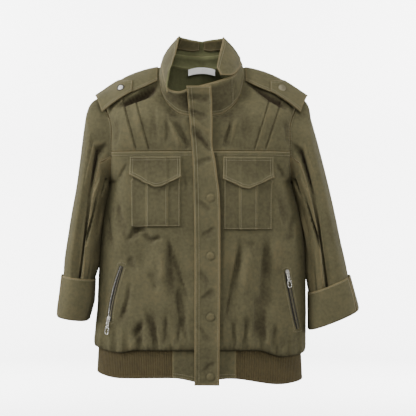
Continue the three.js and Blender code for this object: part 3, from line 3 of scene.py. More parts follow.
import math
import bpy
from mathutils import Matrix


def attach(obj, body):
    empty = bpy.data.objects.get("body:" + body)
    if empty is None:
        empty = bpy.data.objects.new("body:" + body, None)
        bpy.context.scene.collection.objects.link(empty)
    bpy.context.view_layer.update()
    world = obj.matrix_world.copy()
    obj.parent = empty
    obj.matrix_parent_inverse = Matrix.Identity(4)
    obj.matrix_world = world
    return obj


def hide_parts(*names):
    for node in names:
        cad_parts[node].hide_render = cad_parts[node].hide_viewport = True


bl_info = {
    "name": "Utility jacket",
    "version": (1, 0, 0),
    "blender": (4, 5, 0),
    "location": "View3D > Sidebar > Jacket",
    "description": "Builds a cloth utility jacket on its solid frame",
    "category": "Object",
}

import bmesh
import bpy
import numpy as np
from mathutils import Vector

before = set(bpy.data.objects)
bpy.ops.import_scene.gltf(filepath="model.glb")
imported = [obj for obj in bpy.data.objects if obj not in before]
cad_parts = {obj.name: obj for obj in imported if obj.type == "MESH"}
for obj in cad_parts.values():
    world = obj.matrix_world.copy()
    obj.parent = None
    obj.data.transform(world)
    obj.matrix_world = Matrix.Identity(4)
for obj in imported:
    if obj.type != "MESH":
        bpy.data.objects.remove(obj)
BODY = "garment"
MM = 0.001
SEAM = 0.3
SIDES = ((-1, "right"), (1, "left"))

# Thicknesses of the cloth, and the finishes of its outer and inner face
TWILL, DOUBLED, COLLAR_CLOTH, KNIT = 1.3, 1.2, 1.7, 2.4
BODY_FINISH = ("cloth", "inside")
TRIM_FINISH = ("trim", "inside")
WORN_EDGE = 2.8  # how far in from its edges a piece is worn

# Heights of the main seams, in millimetres
YOKE_SEAM_Z = -178
UNDERARM_Z = -238
NECK_FRONT_Z = -110
HEM_TOP_Z = -570.5


def columns(names, *rows):
    """A table as one array for each named column."""
    return dict(zip(names.split(), np.array(rows, float).T))


# The body below the yoke: drop along the cloth, height, half-widths and depths
BODY_ROWS = columns(
    "drop z left right front back",
    (0, -178, 181, 178, 70, 60),
    (60, -238, 188, 184, 71, 61),
    (84, -262, 193, 190, 71, 61),
    (122, -300, 199, 200, 70, 60),
    (162, -340, 204, 208, 68, 59),
    (202, -380, 208, 212, 67, 58),
    (252, -430, 211, 213.5, 66, 58),
    (312, -490, 213, 213.5, 66, 58),
    (352, -530, 217, 213.5, 66, 58),
    (384, -562, 219, 213, 65, 57),
    (397, -575, 217, 210, 61, 54),
    (401, -576.5, 214, 207, 57, 51),
    (406, -573, 212, 205, 55, 50),
)
BODY_LENGTH = 405.5
BODY_POWER = 2.5
BACK_SHOULDER_SHARE = 0.32
SIDE_TURN = 40
SIDE_FULLNESS = 42
SIDE_FULLNESS_END = 150

ARMHOLE_ROWS = columns(
    "angle x y z",
    (0, -203, 5, -62),
    (30, -193, -20, -90),
    (60, -181, -38, -122),
    (90, -180, -44, -160),
    (120, -181, -41, -198),
    (150, -184, -25, -228),
    (180, -188, 0, -238),
    (210, -187, 26, -228),
    (240, -186, 42, -198),
    (270, -188, 46, -158),
    (300, -193, 40, -118),
    (330, -199, 25, -84),
)
LEFT_ARMHOLE_IN = 3

SHOULDER_SPAN = 0.4
NECK_ROWS = columns(
    "span x y z",
    (0, 0, 50, -2),
    (0.13, 31, 47, 0),
    (0.26, 60, 36, 4),
    (0.4, 82, 12, 0),
    (0.52, 85, -12, -28),
    (0.64, 79, -34, -60),
    (0.76, 63, -51, -88),
    (0.88, 38, -62, -105),
    (1, 6, -66, -110),
)
STAND_RIGHT_ARM = columns(
    "span x y z",
    (0, 0, 45, 24),
    (0.13, 29, 42, 26),
    (0.26, 55, 31, 28),
    (0.4, 73, 6, 23),
    (0.52, 77, -22, 0),
    (0.64, 73, -50, -32),
    (0.76, 64, -72, -56),
    (0.88, 44, -81, -61),
    (1, 15.5, -82, -51),
)
STAND_LEFT_ARM = columns(
    "span x y z",
    (0, 0, 45, 24),
    (0.13, 29, 42, 26),
    (0.26, 55, 31, 28),
    (0.4, 73, 6, 23),
    (0.52, 76, -22, 2),
    (0.64, 70, -46, -18),
    (0.76, 60, -66, -29),
    (0.88, 34, -79, -39),
    (1, -8.5, -82, -51),
)
LEAF_RIGHT_ARM = columns(
    "span topX topY topZ footX footY footZ",
    (0, 0, 36, 55, 0, 45, 24),
    (0.13, 24, 33, 59, 29, 42, 26),
    (0.26, 42, 22, 62, 55, 31, 28),
    (0.4, 44, -2, 60, 73, 6, 23),
    (0.52, 47, -24, 40, 77, -22, 0),
    (0.64, 54, -44, 10, 73.5, -50, -31),
    (0.76, 62, -62, -20, 66, -72, -54),
    (0.84, 70, -74, -42, 66, -80, -62),
)
LEAF_LEFT_ARM = columns(
    "span topX topY topZ footX footY footZ",
    (0, 0, 36, 55, 0, 45, 24),
    (0.13, 24, 33, 59, 29, 42, 26),
    (0.26, 43, 22, 60, 55, 31, 28),
    (0.4, 43, -2, 58, 73, 6, 23),
    (0.52, 42, -24, 46, 76, -22, 2),
    (0.64, 38, -46, 26, 70.5, -50, -17),
    (0.76, 33, -66, 4, 56, -76, -29),
    (0.84, 30, -80, -14, 38, -88, -30),
)
LEAF_LIFT = 2.6
LEAF_END = 0.84
LEAF_LAP = 4

SHOULDER_ROWS = columns(
    "along x y z",
    (0, 82, 12, 0),
    (0.28, 115, 11, -8),
    (0.55, 147, 9, -20),
    (0.8, 178, 7, -37),
    (1, 203, 5, -62),
)
PLACKET_ROWS = columns(
    "down left right",
    (51, -29, 19.5),
    (131, -22, 22),
    (165, -19, 21.5),
    (196, -17, 27.3),
    (223, -16, 30.8),
    (266, -15, 36),
    (318, -14, 37.5),
    (398, -13.3, 37.5),
    (530, -13.5, 36.5),
    (646, -13.7, 35.5),
)
PLACKET_FACE_ROWS = columns(
    "down face lift",
    (51, 93.5, 3),
    (80, 84, 6),
    (110, 76.5, 8),
    (145, 74, 6),
    (178, 73.5, 1.5),
    (238, 74.5, 0.5),
    (300, 73.5, 0.5),
    (380, 70.5, 0.5),
    (490, 69.5, 0.5),
    (562, 69.2, 0.5),
    (600, 66, 0.5),
    (646, 62.5, 0.5),
)
ZIP_FROM_PLACKET_EDGE = 17
ZIP_HALF_WIDTH = 3.2
SNAP_HEIGHTS = (-271, -387, -508, -628)
SNAP_X = 18.5

SLEEVE_RIGHT_ARM = columns(
    "outX outZ inX inZ depth",
    (236, -100, 190.5, -243, 50),
    (243, -150, 194, -256, 55),
    (250, -205, 200.5, -282, 57),
    (257, -255, 205.5, -312, 57),
    (266, -302, 209, -342, 57),
    (273, -345, 212.5, -374, 56),
    (280, -396, 216, -410, 55),
    (283, -432, 220, -438, 54),
    (288, -470, 223, -478, 53),
    (291.9, -495.3, 229.2, -505.2, 53),
)
SLEEVE_LEFT_ARM = columns(
    "outX outZ inX inZ depth",
    (224, -108, 187, -243, 50),
    (236, -152, 192, -256, 54),
    (250, -205, 200, -284, 55),
    (261, -250, 207.5, -318, 55),
    (272, -300, 214, -352, 54),
    (283, -350, 217.5, -388, 52),
    (295, -403, 219.5, -432, 50),
    (302, -438, 221.5, -470, 49),
    (311, -462, 221.5, -497, 49),
    (317.1, -485.3, 221, -523.4, 49.3),
)
CUFF_RIGHT_ARM = columns(
    "outX outZ inX inZ depth",
    (286.2, -427, 216.8, -436, 58.2),
    (292, -468, 218.8, -478, 58),
    (297, -511, 230, -521, 56),
)
CUFF_LEFT_ARM = columns(
    "outX outZ inX inZ depth",
    (304.3, -428, 217.5, -464, 52.3),
    (315, -464, 217.5, -503, 53),
    (323.5, -498, 217.5, -541, 53),
)
SLEEVE_SQUARENESS = 2.2
SLEEVE_HEAD = 9
SLEEVE_FRONT_SEAM = 112
BACK_SEAM_TOP = -75
BACK_SEAM_FOOT = {-1: 48, 1: 5}
CUFF_SLIT = 33
CUFF_PROFILE = columns(
    "layer inset position",
    (0, 0, 0),
    (1, 0, 0.7),
    (2, 0, 1.4),
    (3, 0.2, 1.9),
    (4, 2.6, 2),
    (5, 4.9, 1.88),
    (6, 5, 1.65),
)

# Long soft folds of the solids, and finer creases that only the cloth shells have.
# A crease runs from one point to the other; a negative depth is a trough.
FOLD = "fromX fromZ toX toZ reach depth"
FRONT_FOLDS = columns(
    FOLD,
    (78, -345, 47, -530, 15, -5),
    (124, -342, 127, -520, 19, -5),
    (98, -350, 92, -545, 16, 4),
    (160, -250, 152, -400, 16, 3.5),
    (-58, -345, -28, -510, 16, -5),
    (-86, -345, -60, -540, 17, 4),
    (-112, -340, -118, -430, 14, -3.5),
    (-162, -250, -152, -390, 16, 3.5),
)
BACK_FOLDS = columns(
    FOLD,
    (-118, -170, -78, -520, 22, -5),
    (-66, -240, -38, -540, 18, 4),
    (8, -260, 2, -530, 20, -4),
    (60, -220, 50, -540, 18, 4),
    (122, -180, 92, -530, 22, -5),
)
SLEEVE_FOLDS = columns(
    "angle from to reach depth",
    (96, 0.1, 0.95, 17, -8),
    (66, 0.05, 0.8, 15, 3),
    (262, 0.15, 0.9, 22, -6),
    (150, 0.3, 0.85, 16, -4),
)
FRONT_CREASES = columns(
    FOLD,
    (77, -332, 41, -528, 4.6, -4.6),
    (66, -352, 60, -500, 8, 2.6),
    (122, -340, 128, -520, 9, -5),
    (104, -350, 90, -470, 8, 2.4),
    (151, -350, 150, -425, 8, 3),
    (139, -352, 132, -440, 6, -2.6),
    (108, -450, 104, -574, 6, -4),
    (121, -480, 126, -575, 6, -4.4),
    (88, -500, 86, -575, 5, -3.6),
    (150, -520, 146, -580, 5, -3.4),
    (134, -524, 136, -578, 4, 2),
    (168, -545, 160, -584, 4, -2.6),
    (58, -505, 66, -575, 5, -3.4),
    (186, -300, 178, -372, 7, -2.6),
    (150, -262, 170, -330, 6, -2.6),
    (97, -352, 108, -392, 6, -3),
    (-158, -326, -148, -358, 6, -2.6),
    (-156, -358, -122, -330, 6, -4),
    (-144, -338, -108, -337, 5, -4.4),
    (-120, -332, -94, -364, 6, -4),
    (-106, -360, -76, -350, 5, -3.4),
    (-67, -336, -47, -490, 6.5, -5.2),
    (-50, -430, -25, -572, 6, -5),
    (-55, -352, -16, -520, 4, -4),
    (-138, -430, -167, -524, 5, -3.8),
    (-112, -510, -138, -558, 5, -3.6),
    (-117, -482, -91, -572, 5, -3.8),
    (-98, -496, -84, -577, 4, -3.8),
    (-171, -268, -157, -342, 6, -3),
    (-141, -384, -131, -418, 6, -3),
    (-104, -410, -92, -462, 8, -2.6),
    (-84, -372, -72, -440, 7, 2.6),
    (-73, -490, -76, -575, 5, -3.8),
    (-124, -515, -120, -576, 5, -3.4),
    (-43, -500, -46, -575, 5, -3.6),
    (-188, -290, -178, -380, 7, -2.6),
    (-30, -196, -26, -330, 4, -1.8),
    (48, -196, 44, -330, 4, -1.8),
    (-146, -196, -170, -236, 5, -2.4),
    (146, -196, 170, -236, 5, -2.4),
)
YOKE_CREASES = columns(
    FOLD,
    (-76, -31, -178, -89, 6, -11),
    (-92, -40, -160, -80, 4, -4),
    (84, -34, 180, -91, 6, -11),
    (100, -44, 164, -82, 4, -4),
    (-58, -104, -24, -182, 6, -4),
    (-68, -100, -38, -180, 5, 2.4),
    (60, -104, 42, -180, 6, -3.2),
    (70, -100, 54, -178, 5, 2),
    (-70, -92, -66, -168, 8, -2),
    (-96, -80, -84, -160, 8, -1.8),
    (96, -80, 82, -160, 8, -1.8),
    (-166, -110, -172, -168, 6, -2.6),
    (166, -110, 172, -168, 6, -2.6),
    (26, -120, 90, -84, 13, -3),
    (-72, -92, -30, -116, 12, -3.4),
    (-128, -96, -116, -150, 7, 1.4),
    (128, -96, 118, -150, 7, 1.4),
)
PLACKET_CREASES = columns(
    FOLD,
    (-28, -128, 26, -184, 6, -3.6),
    (-24, -112, 20, -146, 6, 2.6),
    (-34, -74, 26, -80, 7, -3.4),
    (-30, -96, 14, -112, 5, -2.4),
    (-18, -206, 26, -194, 5, -1.6),
    (-12, -268, 20, -300, 5, -1.4),
    (30, -326, -2, -352, 6, -1.5),
    (-8, -410, 18, -448, 5, -1.5),
    (28, -452, -4, -478, 7, -1.9),
    (-10, -520, 22, -560, 5, -1.4),
    (30, -596, 0, -620, 5, -1.5),
)
BACK_CREASES = columns(
    FOLD,
    (-160, -110, -120, -190, 8, -2),
    (160, -110, 120, -190, 8, -2),
    (-60, -20, -90, -110, 9, -1.8),
    (60, -20, 90, -110, 9, -1.8),
    (-100, -200, -60, -330, 8, -2.2),
    (96, -230, 60, -360, 8, -2.2),
    (-20, -300, -40, -470, 7, -1.8),
    (30, -330, 20, -500, 7, 1.6),
    (-150, -300, -130, -450, 8, 2),
    (150, -290, 136, -440, 8, 2),
    (-130, -500, -128, -572, 5, -1.8),
    (-96, -510, -98, -573, 5, -1.8),
    (-60, -520, -58, -573, 5, -1.8),
    (-24, -505, -26, -573, 5, -1.8),
    (14, -520, 12, -573, 5, -1.8),
    (48, -510, 52, -573, 5, -1.8),
    (88, -520, 86, -573, 5, -1.8),
    (124, -505, 126, -573, 5, -1.8),
    (160, -520, 156, -578, 5, -1.6),
)
# On a sleeve, X is millimetres round it from the outer fold and Z runs down it
SLEEVE_CREASES = columns(
    FOLD,
    (84, 6, 90, -150, 4, -8),
    (90, -110, 104, -396, 4.4, -8.5),
    (78, -10, 84, -150, 6, 2.4),
    (100, -120, 116, -330, 6, 2.6),
    (148, -18, 132, -116, 4, -7),
    (134, -96, 98, -250, 4, -7.5),
    (120, -60, 100, -150, 6, 2.2),
    (-18, -180, 0, -300, 9, -2.4),
    (-60, -60, -40, -200, 8, -3),
    (-100, -90, -80, -260, 8, 2.6),
    (-70, -260, -96, -380, 7, -3),
    (-30, -300, -34, -392, 6, -2.4),
    (130, -230, 122, -370, 6, -3.4),
    (156, -120, 146, -260, 8, 2.2),
    (170, -260, 160, -390, 7, -3),
)
SAG_ROWS = columns("x sag", (-215, -3), (-165, 6), (-130, 0), (110, 0), (165, 14), (215, 9))

HEM_ROWS = columns(
    "side rightFoot leftFoot",
    (0, -642, -641),
    (0.25, -632, -633),
    (0.7, -634, -646),
    (1, -622, -638),
)
HEM_BACK_FOOT = -634
HEM_DEPTH = {True: 54.2, False: 49.2}
HEM_HALF_WIDTH = {-1: 211, 1: 204}
HEM_FLARE = 3
HEM_END_LEFT_X = -57
HEM_END_RIGHT_X = 68.5

CHEST_POCKETS = (
    dict(name="right_chest", inner=-42, outer=-140, top=-190, pointX=-86, pointZ=-252,
         innerZ=-229, outerZ=-223.5, foot=-328, pleats=(-108, -68)),
    dict(name="left_chest", inner=45, outer=141, top=-191, pointX=90, pointZ=-255,
         innerZ=-232, outerZ=-230, foot=-334, pleats=(77, 111)),
)
POCKET_ZIPS = (
    dict(name="right_pocket", parted=1.9, line=((-160, -408), (-172, -446), (-181, -484), (-185.5, -517))),
    dict(name="left_pocket", parted=0.0, line=((171, -418), (175.5, -445), (184, -488), (194, -534))),
)
# The parts of a pocket pull, down from its hinge: from, to, half-width, wire and rise
PULL_LOOPS = (
    (0, 8.2, 2.35, 0.65, 0),
    (7.2, 13.4, 2.6, 0.7, 0.5),
    (12.4, 18.0, 1.9, 0.7, -0.2),
    (17.0, 30.2, 3.7, 0.85, 0.3),
)
LOOP_TURNS = 40
WIRE_TURNS = 10
TAPE_HALF = 6.4
TAPE_THICKNESS = 0.5
WELT_STITCHES = 8.6
TUCKS = (  # the pressed tucks of the yokes, from the shoulder down to the seam
    ((-159, -74), (-131, -176)),
    ((-134.5, -70), (-105.6, -176)),
    ((140, -68), (107, -176)),
    ((161, -81), (129, -176)),
)

STRAP_ROWS = columns(
    "along backX backY backZ midX midY midZ frontX frontY frontZ",
    (0, 89.5, 12, -0.8, 90, -4, -14.5, 90, -19, -33),
    (0.25, 112, 12, -5.4, 112, -11, -22, 112, -30.5, -45),
    (0.5, 143, 10, -16, 143, -13.5, -33, 143, -35, -59),
    (0.75, 176, 8, -34, 174, -18.5, -53.5, 171, -42, -77),
    (1, 217, 6, -62, 210, -18, -73, 199, -36, -98),
)
STRAP_LIFT = {-1: 1.8, 1: 1.2}
TAB_BACK_ROWS = columns("along share", (0.47, 0.56), (0.6, 0.3), (0.72, 0), (1, 0))
EPAULET_SNAP = (0.66, 0.6)
# Radii and heights of a snap's cap, and the rings between which its rim is painted near black on the bright
# snap, as painted shade
CAP_PROFILE = (
    (0, 2.15), (1.6, 2.25), (2.2, 1.95), (2.8, 2.1), (4.6, 2.05), (5.6, 1.7), (6.0, 1.35),
    (6.6, 1.55), (7.3, 1.4), (7.6, 0.9), (7.5, 0.2), (7.0, -2.6), (0, -2.6),
)
CAP_TURNS = 48
CAP_SHADED_RIM = (5, 10)


# Curves and small helpers
def mix(a, b, t):
    return a + (b - a) * t


def smooth(low, high, t):
    s = np.clip((t - low) / (high - low), 0, 1)
    return s * s * (3 - 2 * s)


def curve(xs, ys):
    """A smooth curve through the points that never overshoots them."""
    slopes = np.diff(ys) / np.diff(xs)
    before, after = slopes[:-1], slopes[1:]
    total = np.where(before + after == 0, 1, before + after)
    inner = np.where(before * after <= 0, 0, 2 * before * after / total)
    tangents = np.concatenate([slopes[:1], inner, slopes[-1:]])

    def at(x):
        x = np.clip(x, xs[0], xs[-1])
        i = np.clip(np.searchsorted(xs, x) - 1, 0, len(xs) - 2)
        h = xs[i + 1] - xs[i]
        t = (x - xs[i]) / h
        low = (1 + 2 * t) * (1 - t) ** 2 * ys[i] + t * (1 - t) ** 2 * h * tangents[i]
        return low + t * t * (3 - 2 * t) * ys[i + 1] + t * t * (t - 1) * h * tangents[i + 1]

    return at


def curves(table, key):
    return {name: curve(table[key], values) for name, values in table.items() if name != key}


def spline(points, positions, closed=False):
    """A Catmull-Rom curve through points, at positions counted in points."""
    points = np.asarray(points, float)
    count = len(points)
    whole = np.floor(positions).astype(int)
    t = (positions - whole)[..., None]

    def pick(i):
        return points[i % count] if closed else points[np.clip(i, 0, count - 1)]

    a, b, c, d = (pick(whole + k) for k in (-1, 0, 1, 2))
    return 0.5 * (2 * b + (c - a) * t + (2 * a - 5 * b + 4 * c - d) * t**2 + (3 * b - a - 3 * c + d) * t**3)


def stack(x, y, z):
    return np.stack(np.broadcast_arrays(x, y, z), axis=-1)


def unit(v):
    return v / np.maximum(np.linalg.norm(v, axis=-1, keepdims=True), 1e-9)


def lengths(line):
    """How far along the line each of its points is."""
    return np.concatenate([[0], np.cumsum(np.linalg.norm(np.diff(line, axis=0), axis=-1))])


def steps(length, size):
    return np.linspace(0, 1, max(2, int(round(length / size)) + 1))


def ring_faces(rings, turns, bands):
    """Quads between neighbouring rings of points; the last ring may join the first."""
    faces = []
    for band in range(bands):
        low, high = band * turns, (band + 1) % rings * turns
        faces += [(low + k, low + (k + 1) % turns, high + (k + 1) % turns, high + k) for k in range(turns)]
    return faces


def fold_height(folds, x, z, uneven=0.0):
    """How far a point is pushed out by a table of folds; uneven ones wander and swell."""
    height = np.zeros(np.broadcast(x, z).shape)
    rows = zip(folds["fromX"], folds["fromZ"], folds["toX"], folds["toZ"], folds["reach"], folds["depth"])
    for order, (x0, z0, x1, z1, reach, depth) in enumerate(rows):
        along = np.array([x1 - x0, z1 - z0])
        length = np.linalg.norm(along)
        raw = ((x - x0) * along[0] + (z - z0) * along[1]) / length**2
        t = np.clip(raw, 0, 1)
        bend = uneven * (0.03 * length * np.sin(3.1 * t + order) + 0.8 * np.sin(8 * t + 2 * order))
        side = ((x - x0) * along[1] - (z - z0) * along[0]) / length + bend
        past = (raw - t) * length
        distance = np.hypot(side, past)
        steep = 1 - uneven * 0.45 * np.sign(side) * (-1) ** order
        width = 1.7 * reach * steep * (1 + uneven * 0.3 * np.sin(5 * t + 1.7 * order))
        across = np.clip(1 - distance / width, 0, 1)
        ends = smooth(0, 0.4, t) * smooth(0, 0.3, 1 - t)
        swell = 1 + uneven * 0.2 * np.sin(5 * t + 0.9 * order)
        height += depth * across**2 * (3 - 2 * across) * ends * swell
    return height


def creases(folds, x, z):
    """The finer creases that only the cloth shells have, at the strength set in the panel."""
    return bpy.context.scene.jacket_sizes.crease_strength * fold_height(folds, x, z, 1.0)


def ripple(x, z, seed=0.0):
    """Small unevenness of worn cloth, longer down the piece than across it."""
    a = np.sin(x / 11 + 1.3 * np.sin(z / 37 + seed) + seed) * np.sin(z / 43 + seed)
    b = np.sin(x / 5.3 + 1.7 * np.sin(z / 21 + 2 * seed)) * np.sin(z / 17 + x / 39 + seed)
    c = np.sin(x / 23 - z / 29 + 3 * seed) * np.sin(x / 31 + z / 57)
    return 0.5 * a + 0.22 * b + 0.7 * c


# Body, yokes and back
BODY_AT = curves(BODY_ROWS, "drop")
PLACKET_AT = curves(PLACKET_ROWS, "down")
PLACKET_FACE_AT = curves(PLACKET_FACE_ROWS, "down")
SAG_AT = curve(SAG_ROWS["x"], SAG_ROWS["sag"])
NECK_AT = curves(NECK_ROWS, "span")
SHOULDER_AT = curves(SHOULDER_ROWS, "along")
HEM_AT = curves(HEM_ROWS, "side")
ARMHOLE_ANGLES = np.linspace(0, 360, 2881)
ARMHOLE_LINE = spline(
    np.stack([ARMHOLE_ROWS["x"], ARMHOLE_ROWS["y"], ARMHOLE_ROWS["z"]], axis=-1),
    ARMHOLE_ANGLES / 30, closed=True,
)


def armhole(side, angle):
    angle = np.mod(angle, 360)
    x, y, z = (np.interp(angle, ARMHOLE_ANGLES, ARMHOLE_LINE[:, k]) for k in range(3))
    return stack(x if side < 0 else -x - LEFT_ARMHOLE_IN, y, z)


def armhole_angle(z, in_front):
    half = slice(0, 1441) if in_front else slice(1440, 2881)
    heights = ARMHOLE_LINE[half, 2]
    angles = ARMHOLE_ANGLES[half]
    if in_front:
        return np.interp(-z, -heights, angles)
    return np.interp(z, heights, angles)


def zip_x(z):
    return PLACKET_AT["left"](-np.asarray(z, float)) + ZIP_FROM_PLACKET_EDGE


def front_edge_x(side, z):
    return zip_x(z) + side * (ZIP_HALF_WIDTH + SEAM)


def gathers(x, drop):
    rise = smooth(338, 386, drop) * (1 - smooth(392, 404, drop))
    wave = np.cos(2 * math.pi * x / 26 + 1.4 * np.sin(x / 31))
    return 2.4 * rise * wave * smooth(32, 60, np.abs(x - 11))


def body_row(side, in_front, drop, shares, start):
    z = float(BODY_AT["z"](drop))
    depth = float(BODY_AT["front" if in_front else "back"](drop))
    fullness = SIDE_FULLNESS * (1 - smooth(0, SIDE_FULLNESS_END, drop))
    if drop < YOKE_SEAM_Z - UNDERARM_Z:
        edge = armhole(side, armhole_angle(z, in_front))
        width, edge_y = abs(edge[0]), abs(edge[1])
    else:
        width, edge_y = float(BODY_AT["left" if side < 0 else "right"](drop)), SEAM / 2
    theta = np.linspace(0, math.pi / 2, 97)
    across = np.clip(np.cos(theta), 0, 1) ** (2 / BODY_POWER)
    across[-1] = 0
    arc_x = width * np.sin(theta) ** (2 / BODY_POWER)
    turn = np.clip(1 - (width - arc_x) / SIDE_TURN, 0, 1) ** 2
    arc_y = mix(fullness, edge_y, turn) + (depth - fullness) * across
    length = lengths(np.stack([arc_x, arc_y], axis=-1))
    signed = side * start(z)
    begin = np.interp(signed, arc_x, length) if signed > 0 else signed
    run = mix(begin, length[-1], shares)
    x = np.where(run > 0, np.interp(run, length, arc_x), run)
    y = np.where(run > 0, np.interp(run, length, arc_y), depth)
    folds = FRONT_FOLDS if in_front else BACK_FOLDS
    rise = (fold_height(folds, side * x, z) + gathers(side * x, drop)) * smooth(0, 12, width - x)
    lowered = z - SAG_AT(side * x) * smooth(357, 392, drop)
    return stack(side * x, -(y + rise) if in_front else y + rise, lowered)


def body_grid(side, in_front, drops, shares, start):
    return np.array([body_row(side, in_front, drop, shares, start) for drop in drops])


def neck_point(side, span):
    return stack(side * NECK_AT["x"](span), NECK_AT["y"](span), NECK_AT["z"](span))


def neck_edge(side, span):
    point = neck_point(side, span)
    shift = front_edge_x(side, NECK_FRONT_Z) - side * NECK_ROWS["x"][-1]
    point[..., 0] += shift * smooth(0.88, 1, span)
    return point


def shoulder_point(side, along):
    inset = (0 if side < 0 else LEFT_ARMHOLE_IN) * along
    x = side * (SHOULDER_AT["x"](along) - inset)
    return stack(x, SHOULDER_AT["y"](along), SHOULDER_AT["z"](along))


def coons(foot, top, start, end, us, vs):
    """A patch between four edges, as rows of points for vs and columns for us."""
    u, v = us[None, :, None], vs[:, None, None]
    grid = foot[None] * (1 - v) + top[None] * v + start[:, None] * (1 - u) + end[:, None] * u
    corners = (1 - u) * (1 - v) * foot[0] + u * (1 - v) * foot[-1]
    return grid - corners - (1 - u) * v * top[0] - u * v * top[-1]


def yoke_grid(side, size):
    us, vs = steps(190, size), mix(SEAM / 110, 1, steps(150, size))
    centre = 0.34
    foot = body_row(side, True, 0, us, lambda z: front_edge_x(side, z))
    top = shoulder_point(side, us)
    low = np.array([float(front_edge_x(side, NECK_FRONT_Z)), NECK_ROWS["y"][-1], NECK_FRONT_Z])
    neck = neck_edge(side, mix(1, SHOULDER_SPAN, np.clip((vs - centre) / (1 - centre), 0, 1)))
    front = mix(foot[0][None], low[None], np.clip(vs / centre, 0, 1)[:, None])
    start = np.where((vs < centre)[:, None], front, neck)
    end = armhole(side, mix(armhole_angle(YOKE_SEAM_Z, True), 0, vs))
    all_vs = np.concatenate([[0], vs])
    whole_start = np.concatenate([foot[:1], start])
    whole_end = np.concatenate([foot[-1:], end])
    grid = coons(foot, top, whole_start, whole_end, us, all_vs)[1:]
    grid[..., 1] -= 13 * np.sin(math.pi * vs)[:, None] * (1 - (1 - 2 * us) ** 4)[None]
    grid[..., 1] -= SEAM / 2 * smooth(0.9, 1, vs)[:, None]
    return grid


def back_grid(size):
    us = steps(560, size)
    vs = steps(150, size)[::-1]
    drops = mix(0, BODY_LENGTH, steps(405, size))[1:]
    halves = np.abs(2 * us - 1)

    def lower(drop):
        right = body_row(-1, False, drop, halves, lambda z: 0.0)
        left = body_row(1, False, drop, halves, lambda z: 0.0)
        return np.where((us < 0.5)[:, None], right, left)

    foot = lower(0)
    share = BACK_SHOULDER_SHARE
    across = (us - 0.5) / (0.5 - share)
    neck_right = neck_point(-1, np.clip(np.abs(across), 0, 1) * SHOULDER_SPAN)
    neck_left = neck_point(1, np.clip(np.abs(across), 0, 1) * SHOULDER_SPAN)
    neck = np.where((across < 0)[:, None], neck_right, neck_left)
    top = np.where((us < share)[:, None], shoulder_point(-1, 1 - us / share), neck)
    top = np.where((us > 1 - share)[:, None], shoulder_point(1, 1 - (1 - us) / share), top)
    seam = armhole_angle(YOKE_SEAM_Z, False)
    edges = [armhole(side, mix(seam, 359.999, vs)) for side in (-1, 1)]
    order = vs[::-1]
    upper = coons(foot, top, edges[0][::-1], edges[1][::-1], us, order)[::-1]
    upper[..., 1] += 10 * np.sin(math.pi * vs)[:, None] * np.sin(math.pi * us)[None]
    upper[..., 1] += SEAM * smooth(0.9, 1, vs)[:, None]
    return np.concatenate([upper, np.array([lower(drop) for drop in drops])])


# Sleeves and cuffs
def ring(side, table, position, angle):
    order = np.arange(len(table["outX"]), dtype=float)
    at = {name: curve(order, values)(position) for name, values in table.items()}
    outer = stack(side * at["outX"], 0.0, at["outZ"])
    inner = stack(side * at["inX"], 0.0, at["inZ"])
    a = np.radians(angle)
    power = 2 / SLEEVE_SQUARENESS
    outward = np.sign(np.cos(a)) * np.abs(np.cos(a)) ** power
    forward = np.sign(np.sin(a)) * np.abs(np.sin(a)) ** power
    middle, reach = (outer + inner) / 2, (outer - inner) / 2
    point = middle + reach * outward[..., None]
    point[..., 1] -= at["depth"] * forward
    return point, middle


def sleeve_points(side, angle, v):
    angle, v = np.broadcast_arrays(angle, v)
    table = SLEEVE_RIGHT_ARM if side < 0 else SLEEVE_LEFT_ARM
    scaled = v * 10 - 1
    point, middle = ring(side, table, np.clip(scaled, 0, 9), angle)
    start = armhole(side, angle)
    start[..., 0] += side * 2 * SEAM
    t = np.clip(scaled + 1, 0, 1)[..., None]
    head = SLEEVE_HEAD * np.sin(math.pi * t[..., 0]) * np.maximum(0, np.cos(np.radians(angle))) ** 2
    point = start * (1 - t) + point * t
    point += head[..., None] * np.array([side * 0.7, 0, 0.7])
    push = np.zeros(angle.shape)
    rows = zip(*(SLEEVE_FOLDS[name] for name in ("angle", "from", "to", "reach", "depth")))
    for middle_angle, begin, end, reach, depth in rows:
        apart = np.abs((angle - middle_angle + 540) % 360 - 180)
        across = np.clip(1 - apart / (1.7 * reach), 0, 1)
        along = smooth(begin - 0.08, begin + 0.12, v) * (1 - smooth(end - 0.15, end, v))
        push = push + depth * across**2 * (3 - 2 * across) * along
    away = point - middle
    away[..., 2] *= 0.3
    return point + unit(away) * push[..., None], unit(away)


def sleeve_grid(side, upper, size):
    vs = steps(400, size)[:, None]
    back = mix(BACK_SEAM_TOP, BACK_SEAM_FOOT[side], smooth(0.1, 1, vs))
    share = steps(185, size)[None, :]
    if upper:
        angle = mix(back + 0.25, SLEEVE_FRONT_SEAM - 0.25, share)
    else:
        angle = mix(SLEEVE_FRONT_SEAM + 0.25, back + 360 - 0.25, share)
    point, away = sleeve_points(side, angle, vs)
    wrapped = (angle + 180) % 360 - 180
    s, t = wrapped * 0.96, -400 * np.broadcast_to(vs, angle.shape)
    fade = smooth(0, 0.05, vs) * smooth(0, 0.03, 1 - vs)
    extra = creases(SLEEVE_CREASES, s, t) * fade
    extra += creases(SLEEVE_CREASES, s - 360 * 0.96, t) * fade
    extra += 0.6 * ripple(s + 40 * side, t, side * 0.7) * fade
    inner_side = np.exp(-((np.abs(wrapped) - 180) / 55) ** 2)
    extra += 6.5 * inner_side * smooth(0.0, 0.16, vs) * smooth(0, 0.2, 0.86 - vs)
    gap = 1.0 - smooth(0.76, 0.82, vs)
    extra = np.where(extra > 0, extra * (0.25 + 0.75 * gap), extra)
    return point + away * extra[..., None], extra


